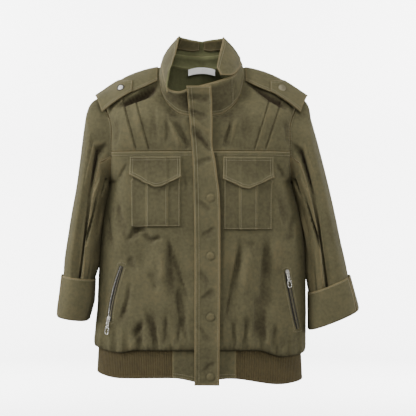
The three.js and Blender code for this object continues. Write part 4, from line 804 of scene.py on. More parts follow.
def cuff_grid(side, size):
    table = CUFF_RIGHT_ARM if side < 0 else CUFF_LEFT_ARM
    at = curves(CUFF_PROFILE, "layer")
    layers = np.concatenate([np.linspace(0, 3, 34), np.linspace(3, 6, 16)[1:]])[:, None]
    angle = np.linspace(CUFF_SLIT + 2.4, CUFF_SLIT + 357.6, int(360 / size * 1.3))[None, :]
    layers, angle = np.broadcast_arrays(layers, angle)
    point, middle = ring(side, table, at["position"](layers), angle)
    away = unit(point - middle)
    extra = 0.7 * ripple(angle * 0.9, -layers * 40, 2.2 + side)
    extra = extra + 1.2 * np.cos(np.radians(angle * 5 + 60)) * smooth(1, 3, layers) * 0.5
    point = point - away * at["inset"](layers)[..., None]
    return point + away * (np.minimum(extra, 0.8) * (1 - smooth(3, 4, layers)))[..., None]


# Collar
def both_arms(at, share, arm):
    """Points of a collar piece, whose right arm has the places below 0 and its left arm the others."""
    at, share = np.broadcast_arrays(at, share)
    right, left = (arm(side, np.abs(at), share) for side, _ in SIDES)
    return np.where((at < 0)[..., None], right, left)


def bulged(point, bulge):
    outward = unit(stack(point[..., 0], point[..., 1] * 1.2, 0.0))
    return point + outward * bulge[..., None]


def stand_points(at, share):
    def arm(side, span, share):
        top = curves(STAND_RIGHT_ARM if side < 0 else STAND_LEFT_ARM, "span")
        head = stack(side * top["x"](span), top["y"](span), top["z"](span))
        foot = neck_edge(side, span)
        foot = foot + unit(head - foot) * SEAM
        bulge = 4 * np.sin(math.pi * share) * smooth(0, 0.15, 1 - span)
        return bulged(foot + (head - foot) * share[..., None], bulge)

    return both_arms(at, share, arm)


def leaf_points(at, share):
    def arm(side, span, share):
        edge = curves(LEAF_RIGHT_ARM if side < 0 else LEAF_LEFT_ARM, "span")
        foot = stack(side * edge["footX"](span), edge["footY"](span), edge["footZ"](span))
        top = stack(side * edge["topX"](span), edge["topY"](span), edge["topZ"](span))
        lap = LEAF_LAP / np.linalg.norm(foot - neck_edge(side, span), axis=-1)
        lapped = stand_points(np.where(span == 0, side * 1e-6, side * span), 1 - lap)
        foot = foot + (lapped - foot) * (1 - smooth(0.5, 0.66, span))[..., None]
        bulge = 3 * np.sin(math.pi * share) * smooth(0, 0.25, LEAF_END - span)
        return bulged(foot + (top - foot) * share[..., None], bulge)

    return both_arms(at, share, arm)


# Hem
def hem_points(side, in_front, share, drop):
    share, drop = np.broadcast_arrays(share, drop)
    width = HEM_HALF_WIDTH[side] + HEM_FLARE * drop
    theta = np.linspace(0, math.pi / 2, 97)
    power = 2 / BODY_POWER
    base = HEM_HALF_WIDTH[side] + HEM_FLARE / 2
    arc_x = base * np.sin(theta) ** power
    arc_y = HEM_DEPTH[in_front] * np.clip(np.cos(theta), 0, 1) ** power
    arc_y[-1] = 0
    length = lengths(np.stack([arc_x, arc_y], axis=-1))
    x = np.interp(share * length[-1], length, arc_x) * width / base
    y = np.interp(share * length[-1], length, arc_y)
    side_foot = HEM_AT["rightFoot" if side < 0 else "leftFoot"]
    if in_front:
        foot = side_foot(share)
    else:
        foot = mix(HEM_BACK_FOOT, side_foot(1.0), smooth(0.3, 1, share))
    z = mix(HEM_TOP_Z - SAG_AT(side * x), foot, drop)
    return stack(side * x, -y if in_front else y, z)


def hem_share(side, x):
    shares = np.linspace(0, 1, 400)
    xs = np.abs(hem_points(side, True, shares, 0.5)[:, 0])
    return float(np.interp(abs(x), xs, shares))


# Shells
def grid_normals(grid, outward):
    across = np.gradient(grid, axis=1)
    down = np.gradient(grid, axis=0)
    normal = unit(np.cross(across, down))
    if np.sum(normal * outward) < 0:
        normal = -normal
    return normal


def inset_places(lines, index, inset):
    """Where an inset from the start of each line lies, or from its end if negative, counted in points."""
    found = []
    for line in lines[np.clip(np.round(index).astype(int), 0, len(lines) - 1)]:
        length = lengths(line)
        found.append(np.interp(inset if inset >= 0 else length[-1] + inset, length, np.arange(len(length))))
    return np.array(found)


class Panel:
    """A cloth piece as a grid of outer points with normals, to sew and lay things on."""

    def __init__(self, grid, outward):
        self.grid = grid
        self.normals = grid_normals(grid, outward)

    def moved(self, height):
        return Panel(self.grid + self.normals * np.asarray(height)[..., None], self.normals)

    def spans(self):
        """Lengths across and down the middle of the panel."""
        rows, cols = self.grid.shape[:2]
        return lengths(self.grid[rows // 2])[None], lengths(self.grid[:, cols // 2])[:, None]

    def settled(self, height, reach=9.0):
        """A height that dies away towards the panel's four edges, so that they stay at their seams."""
        across, down = self.spans()
        nearest = np.minimum(np.minimum(across, across[0, -1] - across), np.minimum(down, down[-1] - down))
        return height * smooth(0, reach, nearest)

    def at(self, row, column):
        rows, cols = self.grid.shape[:2]
        row, column = np.clip(row, 0, rows - 1.001), np.clip(column, 0, cols - 1.001)
        r, c = row.astype(int), column.astype(int)
        fr, fc = (row - r)[..., None], (column - c)[..., None]

        def sample(a):
            top = a[r, c] * (1 - fc) + a[r, c + 1] * fc
            low = a[r + 1, c] * (1 - fc) + a[r + 1, c + 1] * fc
            return top * (1 - fr) + low * fr

        return sample(self.grid), unit(sample(self.normals))

    def side_line(self, inset, trim=3):
        """A line along the panel, in from its first column, or from its last if negative."""
        rows = np.linspace(0, len(self.grid) - 1, len(self.grid) * 2)
        return self.at(rows[trim:-trim], inset_places(self.grid, rows, inset)[trim:-trim])

    def end_line(self, inset, trim=3):
        """A line across the panel, in from its first row, or from its last if negative."""
        cols = np.linspace(0, self.grid.shape[1] - 1, self.grid.shape[1] * 2)
        rows = inset_places(self.grid.transpose(1, 0, 2), cols, inset)
        return self.at(rows[trim:-trim], cols[trim:-trim])

    def locate(self, x, z, turns=3):
        """Fractional rows and columns of the points seen from the front at (x, z)."""
        rows, cols = self.grid.shape[:2]
        x, z = np.asarray(x, float), np.asarray(z, float)
        column = np.full(x.shape, cols / 2)
        row = np.zeros(x.shape)
        for _ in range(turns):
            for k in np.ndindex(x.shape):
                heights = self.grid[:, int(np.clip(round(column[k]), 0, cols - 1)), 2]
                sign = 1 if heights[-1] > heights[0] else -1
                row[k] = np.interp(sign * z[k], sign * heights, np.arange(rows))
                places = self.grid[int(np.clip(round(row[k]), 0, rows - 1)), :, 0]
                turn = 1 if places[-1] > places[0] else -1
                column[k] = np.interp(turn * x[k], turn * places, np.arange(cols))
        return row, column

    def front_points(self, x, z):
        return self.at(*self.locate(x, z))


def reach_out(grid, gap):
    """The grid with its four edges moved out along the cloth, so that neighbours meet at their seam."""
    wide = grid.copy()
    wide[0] += unit(grid[0] - grid[1]) * gap
    wide[-1] += unit(grid[-1] - grid[-2]) * gap
    wide[:, 0] += unit(grid[:, 0] - grid[:, 1]) * gap
    wide[:, -1] += unit(grid[:, -1] - grid[:, -2]) * gap
    return wide


def add_object(name, data):
    """An object in the scene for a mesh, a light or a camera."""
    obj = bpy.data.objects.new(name, data)
    bpy.context.scene.collection.objects.link(obj)
    return obj


def shell_object(name, panel, thickness, finishes, wear=0.0, inside=None, reach=0.2, fade=0.5):
    """A closed thin shell whose outer face is the panel, with UVs in metres, worn edges and the painted
    shade given to it.
    """
    outer, normals = reach_out(panel.grid, reach), panel.normals
    rows, cols = outer.shape[:2]
    inner = outer - normals * thickness if inside is None else inside
    points = np.concatenate([outer.reshape(-1, 3), inner.reshape(-1, 3)]) * MM
    index = np.arange(rows * cols).reshape(rows, cols)
    corners = (index[:-1, :-1], index[:-1, 1:], index[1:, 1:], index[1:, :-1])
    front = np.stack(corners, axis=-1).reshape(-1, 4)
    loop = np.concatenate([index[0, :-1], index[:-1, -1], index[-1, :0:-1], index[:0:-1, 0]])
    after = np.roll(loop, -1)
    rim = np.stack([loop, loop + rows * cols, after + rows * cols, after], axis=-1)
    r, c = rows // 2, cols // 2
    facing = np.cross(outer[r, c + 1] - outer[r, c - 1], outer[r + 1, c] - outer[r - 1, c])
    if np.dot(facing, normals[r, c]) < 0:
        front, rim = front[:, ::-1], rim[:, ::-1]
    faces = np.concatenate([front, front[:, ::-1] + rows * cols, rim])
    mesh = bpy.data.meshes.new(name)
    mesh.vertices.add(len(points))
    mesh.vertices.foreach_set("co", points.ravel())
    mesh.loops.add(faces.size)
    mesh.loops.foreach_set("vertex_index", faces.ravel().astype(np.int32))
    mesh.polygons.add(len(faces))
    mesh.polygons.foreach_set("loop_start", np.arange(0, faces.size, 4, dtype=np.int32))
    mesh.update(calc_edges=True)
    mesh.validate()
    across, down = lengths(outer[r]), lengths(outer[:, c])
    flat = np.stack(np.meshgrid(across, down), axis=-1).reshape(-1, 2) * MM
    layer = mesh.uv_layers.new(name="Cloth")
    layer.data.foreach_set("uv", np.concatenate([flat, flat])[faces.ravel()].ravel())
    from_ends = np.minimum(down, down[-1] - down)[:, None]
    from_sides = np.minimum(across, across[-1] - across)[None, :]
    # Lighter towards the edges, where the cloth is worn, plus the values given, which carry painted shade
    # in the creases.
    worn_and_shaded = fade * np.exp(-(np.minimum(from_ends, from_sides) / WORN_EDGE) ** 2) + wear
    worn_and_shaded = np.clip(worn_and_shaded, -1, 1).ravel()
    attribute = mesh.attributes.new("wear", "FLOAT", "POINT")
    attribute.data.foreach_set("value", np.concatenate([worn_and_shaded, worn_and_shaded]).astype(np.float32))
    for finish in finishes:
        mesh.materials.append(material(finish))
    if len(finishes) > 1:
        slots = np.zeros(len(faces), np.int32)
        slots[len(front):2 * len(front)] = 1
        mesh.polygons.foreach_set("material_index", slots)
    mesh.polygons.foreach_set("use_smooth", np.ones(len(faces), bool))
    return add_object(name, mesh)


def put(obj, slot, *nodes, body=BODY):
    """Says what a finished piece moves with and hides the solids it stands for; the slot is not used."""
    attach(obj, body)
    if nodes:
        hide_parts(*nodes)


def cloth_piece(name, node, panel, thickness, finishes, slot="cloth", held="draped", **options):
    obj = shell_object(name, panel, thickness, finishes, **options)
    grid = panel.grid * MM
    flat = tuple(
        float(np.linalg.norm(np.diff(grid, axis=axis), axis=-1).sum(axis=axis).max()) for axis in (1, 0))
    put(obj, slot, node)


def paint_node(node, finish):
    """Gives a solid of the frame that stays as it is its finish."""
    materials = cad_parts[node].data.materials
    materials.clear()
    materials.append(material(finish))


# Materials
def node_group(name, inputs, outputs):
    group = bpy.data.node_groups.new(name, "ShaderNodeTree")
    for label, kind, value in inputs:
        socket = group.interface.new_socket(label, in_out="INPUT", socket_type=kind)
        if value is not None:
            socket.default_value = value
    for label, kind in outputs:
        group.interface.new_socket(label, in_out="OUTPUT", socket_type=kind)
    return group, group.nodes.new("NodeGroupInput"), group.nodes.new("NodeGroupOutput")


def woven_group():
    """Twill lines and thread noise from the piece's UVs, and the colour of worn cloth with the painted
    shade of its creases.
    """
    group, given, result = node_group(
        "Worn weave",
        (
            ("Base", "NodeSocketColor", (0.1, 0.1, 0.1, 1)),
            ("Faded", "NodeSocketColor", (0.2, 0.2, 0.2, 1)),
            ("Dark and shaded", "NodeSocketColor", (0.05, 0.05, 0.05, 1)),
            ("Thread size", "NodeSocketFloat", 900.0),
            ("Fading", "NodeSocketFloat", 0.5),
        ),
        (("Color", "NodeSocketColor"), ("Height", "NodeSocketFloat"), ("Roughness", "NodeSocketFloat")),
    )
    nodes, links = group.nodes, group.links
    coordinates = nodes.new("ShaderNodeTexCoord")
    turned = nodes.new("ShaderNodeMapping")
    turned.inputs["Rotation"].default_value[2] = math.radians(63)
    links.new(coordinates.outputs["UV"], turned.inputs["Vector"])
    twill = nodes.new("ShaderNodeTexWave")
    twill.wave_profile = "SIN"
    twill.inputs["Distortion"].default_value = 0.6
    links.new(turned.outputs["Vector"], twill.inputs["Vector"])
    links.new(given.outputs["Thread size"], twill.inputs["Scale"])
    wear = nodes.new("ShaderNodeAttribute")
    wear.attribute_name = "wear"

    def noise(scale, detail):
        node = nodes.new("ShaderNodeTexNoise")
        node.inputs["Scale"].default_value = scale
        node.inputs["Detail"].default_value = detail
        links.new(coordinates.outputs["Object"], node.inputs["Vector"])
        return node.outputs["Fac"]

    def blend(factor, a, b):
        node = nodes.new("ShaderNodeMix")
        node.data_type = "RGBA"
        for label, output in (("Factor", factor), ("A", a), ("B", b)):
            links.new(output, node.inputs[label])
        return node.outputs["Result"]

    def math_node(kind, a, b, clamp=False):
        node = nodes.new("ShaderNodeMath")
        node.operation = kind
        node.use_clamp = clamp
        for socket, value in zip(node.inputs, (a, b)):
            if isinstance(value, (int, float)):
                socket.default_value = value
            else:
                links.new(value, socket)
        return node.outputs[0]

    fine, broad, mottle = noise(900, 2), noise(22, 5), noise(160, 4)
    spread = math_node("MULTIPLY", math_node("SUBTRACT", broad, 0.5), 0.7)
    spots = math_node("MULTIPLY", math_node("SUBTRACT", mottle, 0.5), 0.9)
    # The attribute read here holds worn edges and painted shade in the creases.
    worn_and_shaded = math_node("MULTIPLY", wear.outputs["Fac"], given.outputs["Fading"])
    level = math_node("ADD", math_node("ADD", spread, spots), worn_and_shaded)
    faded = blend(math_node("MULTIPLY", level, 1.0, True), given.outputs["Base"], given.outputs["Faded"])
    dark_and_shaded = blend(math_node("MULTIPLY", level, -1.3, True), faded, given.outputs["Dark and shaded"])
    links.new(dark_and_shaded, result.inputs["Color"])
    height = math_node("ADD", twill.outputs["Fac"], math_node("MULTIPLY", fine, 1.2))
    links.new(height, result.inputs["Height"])
    links.new(math_node("ADD", 0.78, math_node("MULTIPLY", mottle, 0.2)), result.inputs["Roughness"])
    return group


def linear(colour):
    return tuple(colour) + (1.0,)


def cloth_material(name, group, base, faded, dark_and_shaded, thread=900.0, fading=0.85, bump=0.00012, sheen=0.0):
    material = bpy.data.materials.new(name)
    material.use_nodes = True
    nodes, links = material.node_tree.nodes, material.node_tree.links
    surface = nodes["Principled BSDF"]
    weave = nodes.new("ShaderNodeGroup")
    weave.node_tree = group
    weave.inputs["Base"].default_value = linear(base)
    weave.inputs["Faded"].default_value = linear(faded)
    weave.inputs["Dark and shaded"].default_value = linear(dark_and_shaded)
    weave.inputs["Thread size"].default_value = thread
    weave.inputs["Fading"].default_value = fading
    raised = nodes.new("ShaderNodeBump")
    raised.inputs["Strength"].default_value = 0.6
    raised.inputs["Distance"].default_value = bump
    links.new(weave.outputs["Height"], raised.inputs["Height"])
    links.new(raised.outputs["Normal"], surface.inputs["Normal"])
    links.new(weave.outputs["Color"], surface.inputs["Base Color"])
    links.new(weave.outputs["Roughness"], surface.inputs["Roughness"])
    surface.inputs["Sheen Weight"].default_value = sheen
    surface.inputs["Sheen Roughness"].default_value = 0.5
    surface.inputs["Specular IOR Level"].default_value = 0.25
    return material


def plain_material(name, colour, roughness, metallic=0.0, noise=0.0):
    material = bpy.data.materials.new(name)
    material.use_nodes = True
    nodes, links = material.node_tree.nodes, material.node_tree.links
    surface = nodes["Principled BSDF"]
    surface.inputs["Base Color"].default_value = linear(colour)
    surface.inputs["Metallic"].default_value = metallic
    surface.inputs["Roughness"].default_value = roughness
    if noise:
        coordinates = nodes.new("ShaderNodeTexCoord")
        grain = nodes.new("ShaderNodeTexNoise")
        grain.inputs["Scale"].default_value = 700
        links.new(coordinates.outputs["Object"], grain.inputs["Vector"])
        spread = nodes.new("ShaderNodeMapRange")
        spread.inputs["To Min"].default_value = roughness - noise
        spread.inputs["To Max"].default_value = roughness + noise
        links.new(grain.outputs["Fac"], spread.inputs["Value"])
        links.new(spread.outputs["Result"], surface.inputs["Roughness"])
    return material


# What one operator leaves for the next: finishes, the two fronts, rows of stitches, places of snaps
MATERIALS = {}
FRONTS = {}
SEWING = []
EPAULET_PLACES = {}


def material(name):
    """One of the jacket's finishes, made when it is first asked for."""
    if MATERIALS:
        return MATERIALS[name]
    colours = bpy.context.scene.jacket_colours
    weave = woven_group()
    cloth = np.array(colours.cloth)
    # The dark colour serves both the cloth's darker mottling and the painted shade in its creases.
    faded, dark_and_shaded = cloth * (1.9, 1.66, 1.6), cloth * (0.34, 0.28, 0.26)
    MATERIALS["cloth"] = cloth_material("Olive twill", weave, cloth, faded, dark_and_shaded)
    MATERIALS["trim"] = cloth_material("Olive twill trim", weave, cloth, faded, dark_and_shaded, fading=0.9)
    # The inside colour is lightened as painted light.
    inside = np.array(colours.inside)
    MATERIALS["inside"] = cloth_material("Twill wrong side", weave, inside, inside * 1.5, inside * 0.6)
    rib = np.array(colours.rib)
    MATERIALS["rib"] = cloth_material(
        "Rib knit", weave, rib, rib * 1.5, rib * 0.45, thread=500, fading=0.9, bump=0.0002, sheen=0.1)
    MATERIALS["thread"] = plain_material("Olive thread", colours.thread, 0.7)
    MATERIALS["metal"] = plain_material("Aged nickel", colours.metal, 0.27, 1.0, 0.08)
    MATERIALS["snap_metal"] = plain_material("Bright snap", np.array(colours.metal) * 0.42, 0.36, 1.0, 0.06)
    MATERIALS["dark_metal"] = plain_material("Oxidised brass", colours.dark_metal, 0.45, 1.0, 0.1)
    MATERIALS["tape"] = plain_material("Zip tape", colours.tape, 0.85)
    MATERIALS["label"] = plain_material("Label tape", colours.label, 0.75, 0.0, 0.08)
    return MATERIALS[name]


# Repeats, with Geometry Nodes
def repeat_tree(name, shape):
    """Puts a small solid at each point, turned along the point's "ahead" and "out" directions."""
    tree = bpy.data.node_groups.new(name, "GeometryNodeTree")
    tree.interface.new_socket("Geometry", in_out="INPUT", socket_type="NodeSocketGeometry")
    size = tree.interface.new_socket("Size", in_out="INPUT", socket_type="NodeSocketVector")
    finish = tree.interface.new_socket("Finish", in_out="INPUT", socket_type="NodeSocketMaterial")
    tree.interface.new_socket("Geometry", in_out="OUTPUT", socket_type="NodeSocketGeometry")
    nodes, links = tree.nodes, tree.links
    given, result = nodes.new("NodeGroupInput"), nodes.new("NodeGroupOutput")
    if shape == "bead":
        solid = nodes.new("GeometryNodeMeshIcoSphere")
        solid.inputs["Radius"].default_value = 0.5
        solid.inputs["Subdivisions"].default_value = 1
    else:
        solid = nodes.new("GeometryNodeMeshCube")
    scaled = nodes.new("GeometryNodeTransform")
    links.new(solid.outputs["Mesh"], scaled.inputs["Geometry"])
    links.new(given.outputs["Size"], scaled.inputs["Scale"])
    turns = None
    for axis, label in (("X", "ahead"), ("Z", "out")):
        named = nodes.new("GeometryNodeInputNamedAttribute")
        named.data_type = "FLOAT_VECTOR"
        named.inputs["Name"].default_value = label
        align = nodes.new("FunctionNodeAlignRotationToVector")
        align.axis = axis
        if turns is not None:
            align.pivot_axis = "X"
            links.new(turns, align.inputs["Rotation"])
        links.new(named.outputs["Attribute"], align.inputs["Vector"])
        turns = align.outputs["Rotation"]
    placed = nodes.new("GeometryNodeInstanceOnPoints")
    links.new(given.outputs["Geometry"], placed.inputs["Points"])
    links.new(scaled.outputs["Geometry"], placed.inputs["Instance"])
    links.new(turns, placed.inputs["Rotation"])
    real = nodes.new("GeometryNodeRealizeInstances")
    links.new(placed.outputs["Instances"], real.inputs["Geometry"])
    shaded = nodes.new("GeometryNodeSetShadeSmooth")
    shaded.inputs["Shade Smooth"].default_value = shape == "bead"
    links.new(real.outputs["Geometry"], shaded.inputs["Geometry"])
    painted = nodes.new("GeometryNodeSetMaterial")
    links.new(shaded.outputs["Geometry"], painted.inputs["Geometry"])
    links.new(given.outputs["Finish"], painted.inputs["Material"])
    links.new(painted.outputs["Geometry"], result.inputs["Geometry"])
    return tree, size.identifier, finish.identifier


def repeated(name, shape, size, finish, points, ahead, out, slot):
    """One mesh of small solids at points (millimetres), made by the repeat tree."""
    tree, size_id, finish_id = repeat_tree(f"Repeat {name}", shape)
    mesh = bpy.data.meshes.new(name)
    mesh.from_pydata([tuple(p) for p in np.asarray(points) * MM], [], [])
    for label, values in (("ahead", ahead), ("out", out)):
        attribute = mesh.attributes.new(label, "FLOAT_VECTOR", "POINT")
        attribute.data.foreach_set("vector", np.asarray(values, np.float32).ravel())
    obj = add_object(name, mesh)
    modifier = obj.modifiers.new("Repeat", "NODES")
    modifier.node_group = tree
    modifier[size_id] = [float(v) * MM for v in size]
    modifier[finish_id] = finish
    bpy.context.view_layer.update()
    evaluated = obj.evaluated_get(bpy.context.evaluated_depsgraph_get())
    made = bpy.data.meshes.new_from_object(evaluated)
    obj.modifiers.remove(modifier)
    obj.data = made
    made.name = name
    put(obj, slot)


def resample(points, normals, pitch):
    length = lengths(points)
    count = max(2, int(length[-1] / pitch))
    places = np.linspace(0, length[-1], count + 1)
    mid = (places[1:] + places[:-1]) / 2

    def read(values):
        return np.stack([np.interp(mid, length, values[:, k]) for k in range(3)], axis=-1)

    def ahead(at):
        return np.stack([np.interp(at, length, points[:, k]) for k in range(3)], axis=-1)

    return read(points), unit(ahead(mid + 0.4) - ahead(mid - 0.4)), unit(read(normals))


def sew(line, lift=0.2):
    """Keeps a row of stitches to be made along a line of points and normals."""
    pitch = bpy.context.scene.jacket_sizes.stitch_pitch / MM
    points, ahead, out = resample(line[0], line[1], pitch)
    SEWING.append((points + out * lift, ahead, out))


def sew_rows(panel, sides=(), ends=(), trim=3):
    """Stitches beside a panel's edges, at insets from its sides and ends."""
    for inset in sides:
        sew(panel.side_line(inset, trim))
    for inset in ends:
        sew(panel.end_line(inset, trim))


def make_sewing(name):
    """Turns all the rows kept so far into one mesh."""
    if SEWING:
        sizes = bpy.context.scene.jacket_sizes
        points, ahead, out = (np.concatenate([row[k] for row in SEWING]) for k in range(3))
        size = (sizes.stitch_length / MM, sizes.thread_width / MM, sizes.thread_width / MM * 0.8)
        repeated(name, "bead", size, material("thread"), points, ahead, out, "cloth")
        SEWING.clear()


def seam_pucker(panel, top=0.0, foot=0.0, start=0.0, end=0.0, pitch=7.0, fell=0.0, width=8.5):
    """Small puckers beside the sewn edges of a panel, and the raised fell of its seams, as heights."""
    across, down = panel.spans()
    wave_across = np.sin(2 * math.pi * (across / pitch + 0.35 * np.sin(across / 19)))
    wave_down = np.sin(2 * math.pi * (down / pitch + 0.35 * np.sin(down / 23)))
    height = 0.0
    for sewn, distance, wave in (
        (top, down, wave_across), (foot, down[-1] - down, wave_across),
        (start, across, wave_down), (end, across[0, -1] - across, wave_down),
    ):
        if sewn:
            height = height + sewn * np.exp(-distance / 6) * wave
            height = height + fell * (1 - smooth(width - 1.5, width + 0.5, distance))
    return height


def hem_pucker(x):
    """Gathers of the cloth where the rib draws it in."""
    return 0.9 * np.sin(2 * math.pi * x / 9.5 + 1.5 * np.sin(x / 13))


# Painted shade from a fold height: darker in troughs, darker still in the deepest ones, and lighter on
# ridges.
def painted_fold_shading(height, depth=3.0, deep_shade=0.6):
    return np.clip(0.4 * height / depth, -0.28, 0.22) + np.clip((height + 4.5) / 8, -deep_shade, 0)


# Operators
class PieceOperator:
    bl_options = {"REGISTER", "UNDO"}

    def execute(self, context):
        self.build(context.scene.jacket_sizes)
        return {"FINISHED"}


class JACKET_OT_fronts(PieceOperator, bpy.types.Operator):
    """Make the two fronts and their yokes, creased and topstitched"""

    bl_idname = "jacket.fronts"
    bl_label = "Fronts and yokes"

    def build(self, sizes):
        step = sizes.cloth_step / MM
        for side, name in SIDES:
            drops = np.concatenate([[0.4], mix(0, BODY_LENGTH, steps(405, step))[1:]])
            shares = steps(215, step)
            grid = body_grid(side, True, drops, shares, lambda z, s=side: front_edge_x(s, z))
            front = Panel(grid, np.array([0, -1, 0.0]))
            x, z = grid[..., 0], grid[..., 2]
            settle = smooth(0, 12, drops)[:, None] * smooth(0, 14, np.abs(x) - 20)
            settle = settle * smooth(0, 6, 401 - drops)[:, None]
            extra = (creases(FRONT_CREASES, x, z) + 0.75 * ripple(x, z, side * 1.1)) * settle
            pocket = CHEST_POCKETS[0 if side < 0 else 1]
            low, high = sorted((pocket["inner"], pocket["outer"]))
            under_pocket = smooth(low - 14, low + 4, x) * (1 - smooth(high - 4, high + 14, x))
            under_pocket = under_pocket * smooth(pocket["foot"] - 6, pocket["foot"] + 6, z)
            extra = extra * (1 - 0.8 * under_pocket)
            path = spline(POCKET_ZIPS[0 if side < 0 else 1]["line"], np.linspace(0, 2.9999, 60))
            near = np.min(np.hypot(x[..., None] - path[:, 0], z[..., None] - path[:, 1]), axis=-1)
            extra = extra * smooth(4, 16, near) + 0.9 * np.exp(-((near - 7.5) / 3.2) ** 2)
            if side > 0:
                beside = x - PLACKET_AT["right"](-z) - 2.2
                extra = extra - 3.0 * np.exp(-(beside / 2.6) ** 2) * smooth(0, 20, 392 - drops)[:, None]
            pucker = hem_pucker(x) * smooth(362, 388, drops)[:, None]
            extra = extra + pucker * (1 - smooth(392, 403, drops))[:, None] * smooth(24, 50, np.abs(x - 11))
            front = front.moved(front.settled(extra))
            front = front.moved(seam_pucker(front, top=0.3, fell=0.9))
            FRONTS[name] = front
            # Painted shade: the troughs of the fronts' creases, the groove beside the placket among them,
            # are painted darker.
            cloth_piece(name + "_front_cloth", name + "_front", front, TWILL, BODY_FINISH,
                        wear=painted_fold_shading(extra, 5, 0.1))
            sew_rows(front, sides=(-3.0,), ends=(1.6, 7.5))
            self.yoke(side, name, step)
        make_sewing("front_stitching")

    def yoke(self, side, name, step):
        grid = yoke_grid(side, step * 0.62)
        yoke = Panel(grid, np.array([0, -1, 0.2]))
        x, z = grid[..., 0], grid[..., 2]
        extra = creases(YOKE_CREASES, x, z) + 0.6 * ripple(x, z, side * 2.3)
        extra = extra * smooth(-178, -168, z)
        for (x0, z0), (x1, z1) in TUCKS:
            if x0 * side > 0:
                t = np.clip((z - z0) / (z1 - z0), -0.6, 1)
                across = side * (x - mix(x0, x1, t))
                ridge = 1.8 * smooth(-0.6, 0.8, across) * np.exp(-np.maximum(across, 0) / 9)
                groove = -2.6 * np.exp(-((across + 1.5) / 1.3) ** 2)
                extra = extra + (ridge + groove) * smooth(-60, -78, z)
        yoke = yoke.moved(yoke.settled(extra))
        yoke = yoke.moved(seam_pucker(yoke, end=0.3, start=0.2, fell=0.6, width=6))
        # Painted shade: the yoke's crease troughs, and most of all the hollow under the strap's front edge,
        # are painted darker.
        cloth_piece(name + "_yoke_cloth", name + "_front_yoke", yoke, TWILL, BODY_FINISH,
                    wear=painted_fold_shading(extra, 2.4))
        sew_rows(yoke, sides=(-3.0,))


class JACKET_OT_back(PieceOperator, bpy.types.Operator):
    """Make the one-piece back"""

    bl_idname = "jacket.back"
    bl_label = "Back"

    def build(self, sizes):
        grid = back_grid(sizes.cloth_step / MM * 1.15)
        back = Panel(grid, np.array([0, 1, 0.0]))
        x, z = grid[..., 0], grid[..., 2]
        settle = smooth(0, 10, 205 - np.abs(x)) * smooth(-574, -566, z)
        rise = smooth(0, 24, 2 - z)
        extra = (creases(BACK_CREASES, x, z) + 0.8 * ripple(x, z, 3.7)) * settle * rise
        extra = extra + hem_pucker(x) * smooth(-540, -566, z) * smooth(-575, -571, z)
        back = back.moved(back.settled(extra))
        back = back.moved(seam_pucker(back, top=0.2, start=0.25, end=0.25))
        # Painted shade: the troughs of the back's creases are painted darker.
        cloth_piece("back_cloth", "back", back, TWILL, BODY_FINISH, wear=painted_fold_shading(extra, 5))
        sew_rows(back, sides=(3.0, -3.0), ends=(2.5,))
        make_sewing("back_stitching")


class JACKET_OT_sleeves(PieceOperator, bpy.types.Operator):
    """Make the two-piece sleeves with their long folds"""

    bl_idname = "jacket.sleeves"
    bl_label = "Sleeves"

    def build(self, sizes):
        step = sizes.cloth_step / MM * 0.7
        for side, name in SIDES:
            for upper, half in ((True, "upper"), (False, "under")):
                grid, extra = sleeve_grid(side, upper, step)
                centre = grid.mean(axis=1, keepdims=True)
                aside = np.array([side, -0.2, 0.3]) if upper else np.array([-side, 0.2, -0.3])
                panel = Panel(grid, grid - centre + aside * 20)
                panel = panel.moved(seam_pucker(panel, top=0.3, start=0.35, end=0.35, pitch=8))
                # Painted shade: the troughs of the sleeve's creases are painted darker.
                cloth_piece(f"{name}_sleeve_{half}_cloth", f"{name}_sleeve_{half}", panel, TWILL,
                            BODY_FINISH, wear=painted_fold_shading(extra), reach=0.8, fade=0.85)
                if upper:
                    sew_rows(panel, sides=(2.2, -2.2), ends=(3.0,))
        make_sewing("sleeve_stitching")


class JACKET_OT_cuffs(PieceOperator, bpy.types.Operator):
    """Make the turned-up cuffs"""

    bl_idname = "jacket.cuffs"
    bl_label = "Cuffs"

    def build(self, sizes):
        for side, name in SIDES:
            grid = cuff_grid(side, sizes.cloth_step / MM)
            away = grid - grid[:10].mean(axis=(0, 1))
            away[..., 2] = 0
            away[20:] = 0
            outer = Panel(grid, away)
            cloth_piece(name + "_cuff_cloth", name + "_cuff", outer, TWILL, BODY_FINISH, wear=0.1, fade=0.9)
            shown = Panel(grid[:34], outer.normals[:34])
            sew_rows(shown, sides=(2.5, -2.5), ends=(3.0,), trim=1)
        make_sewing("cuff_stitching")


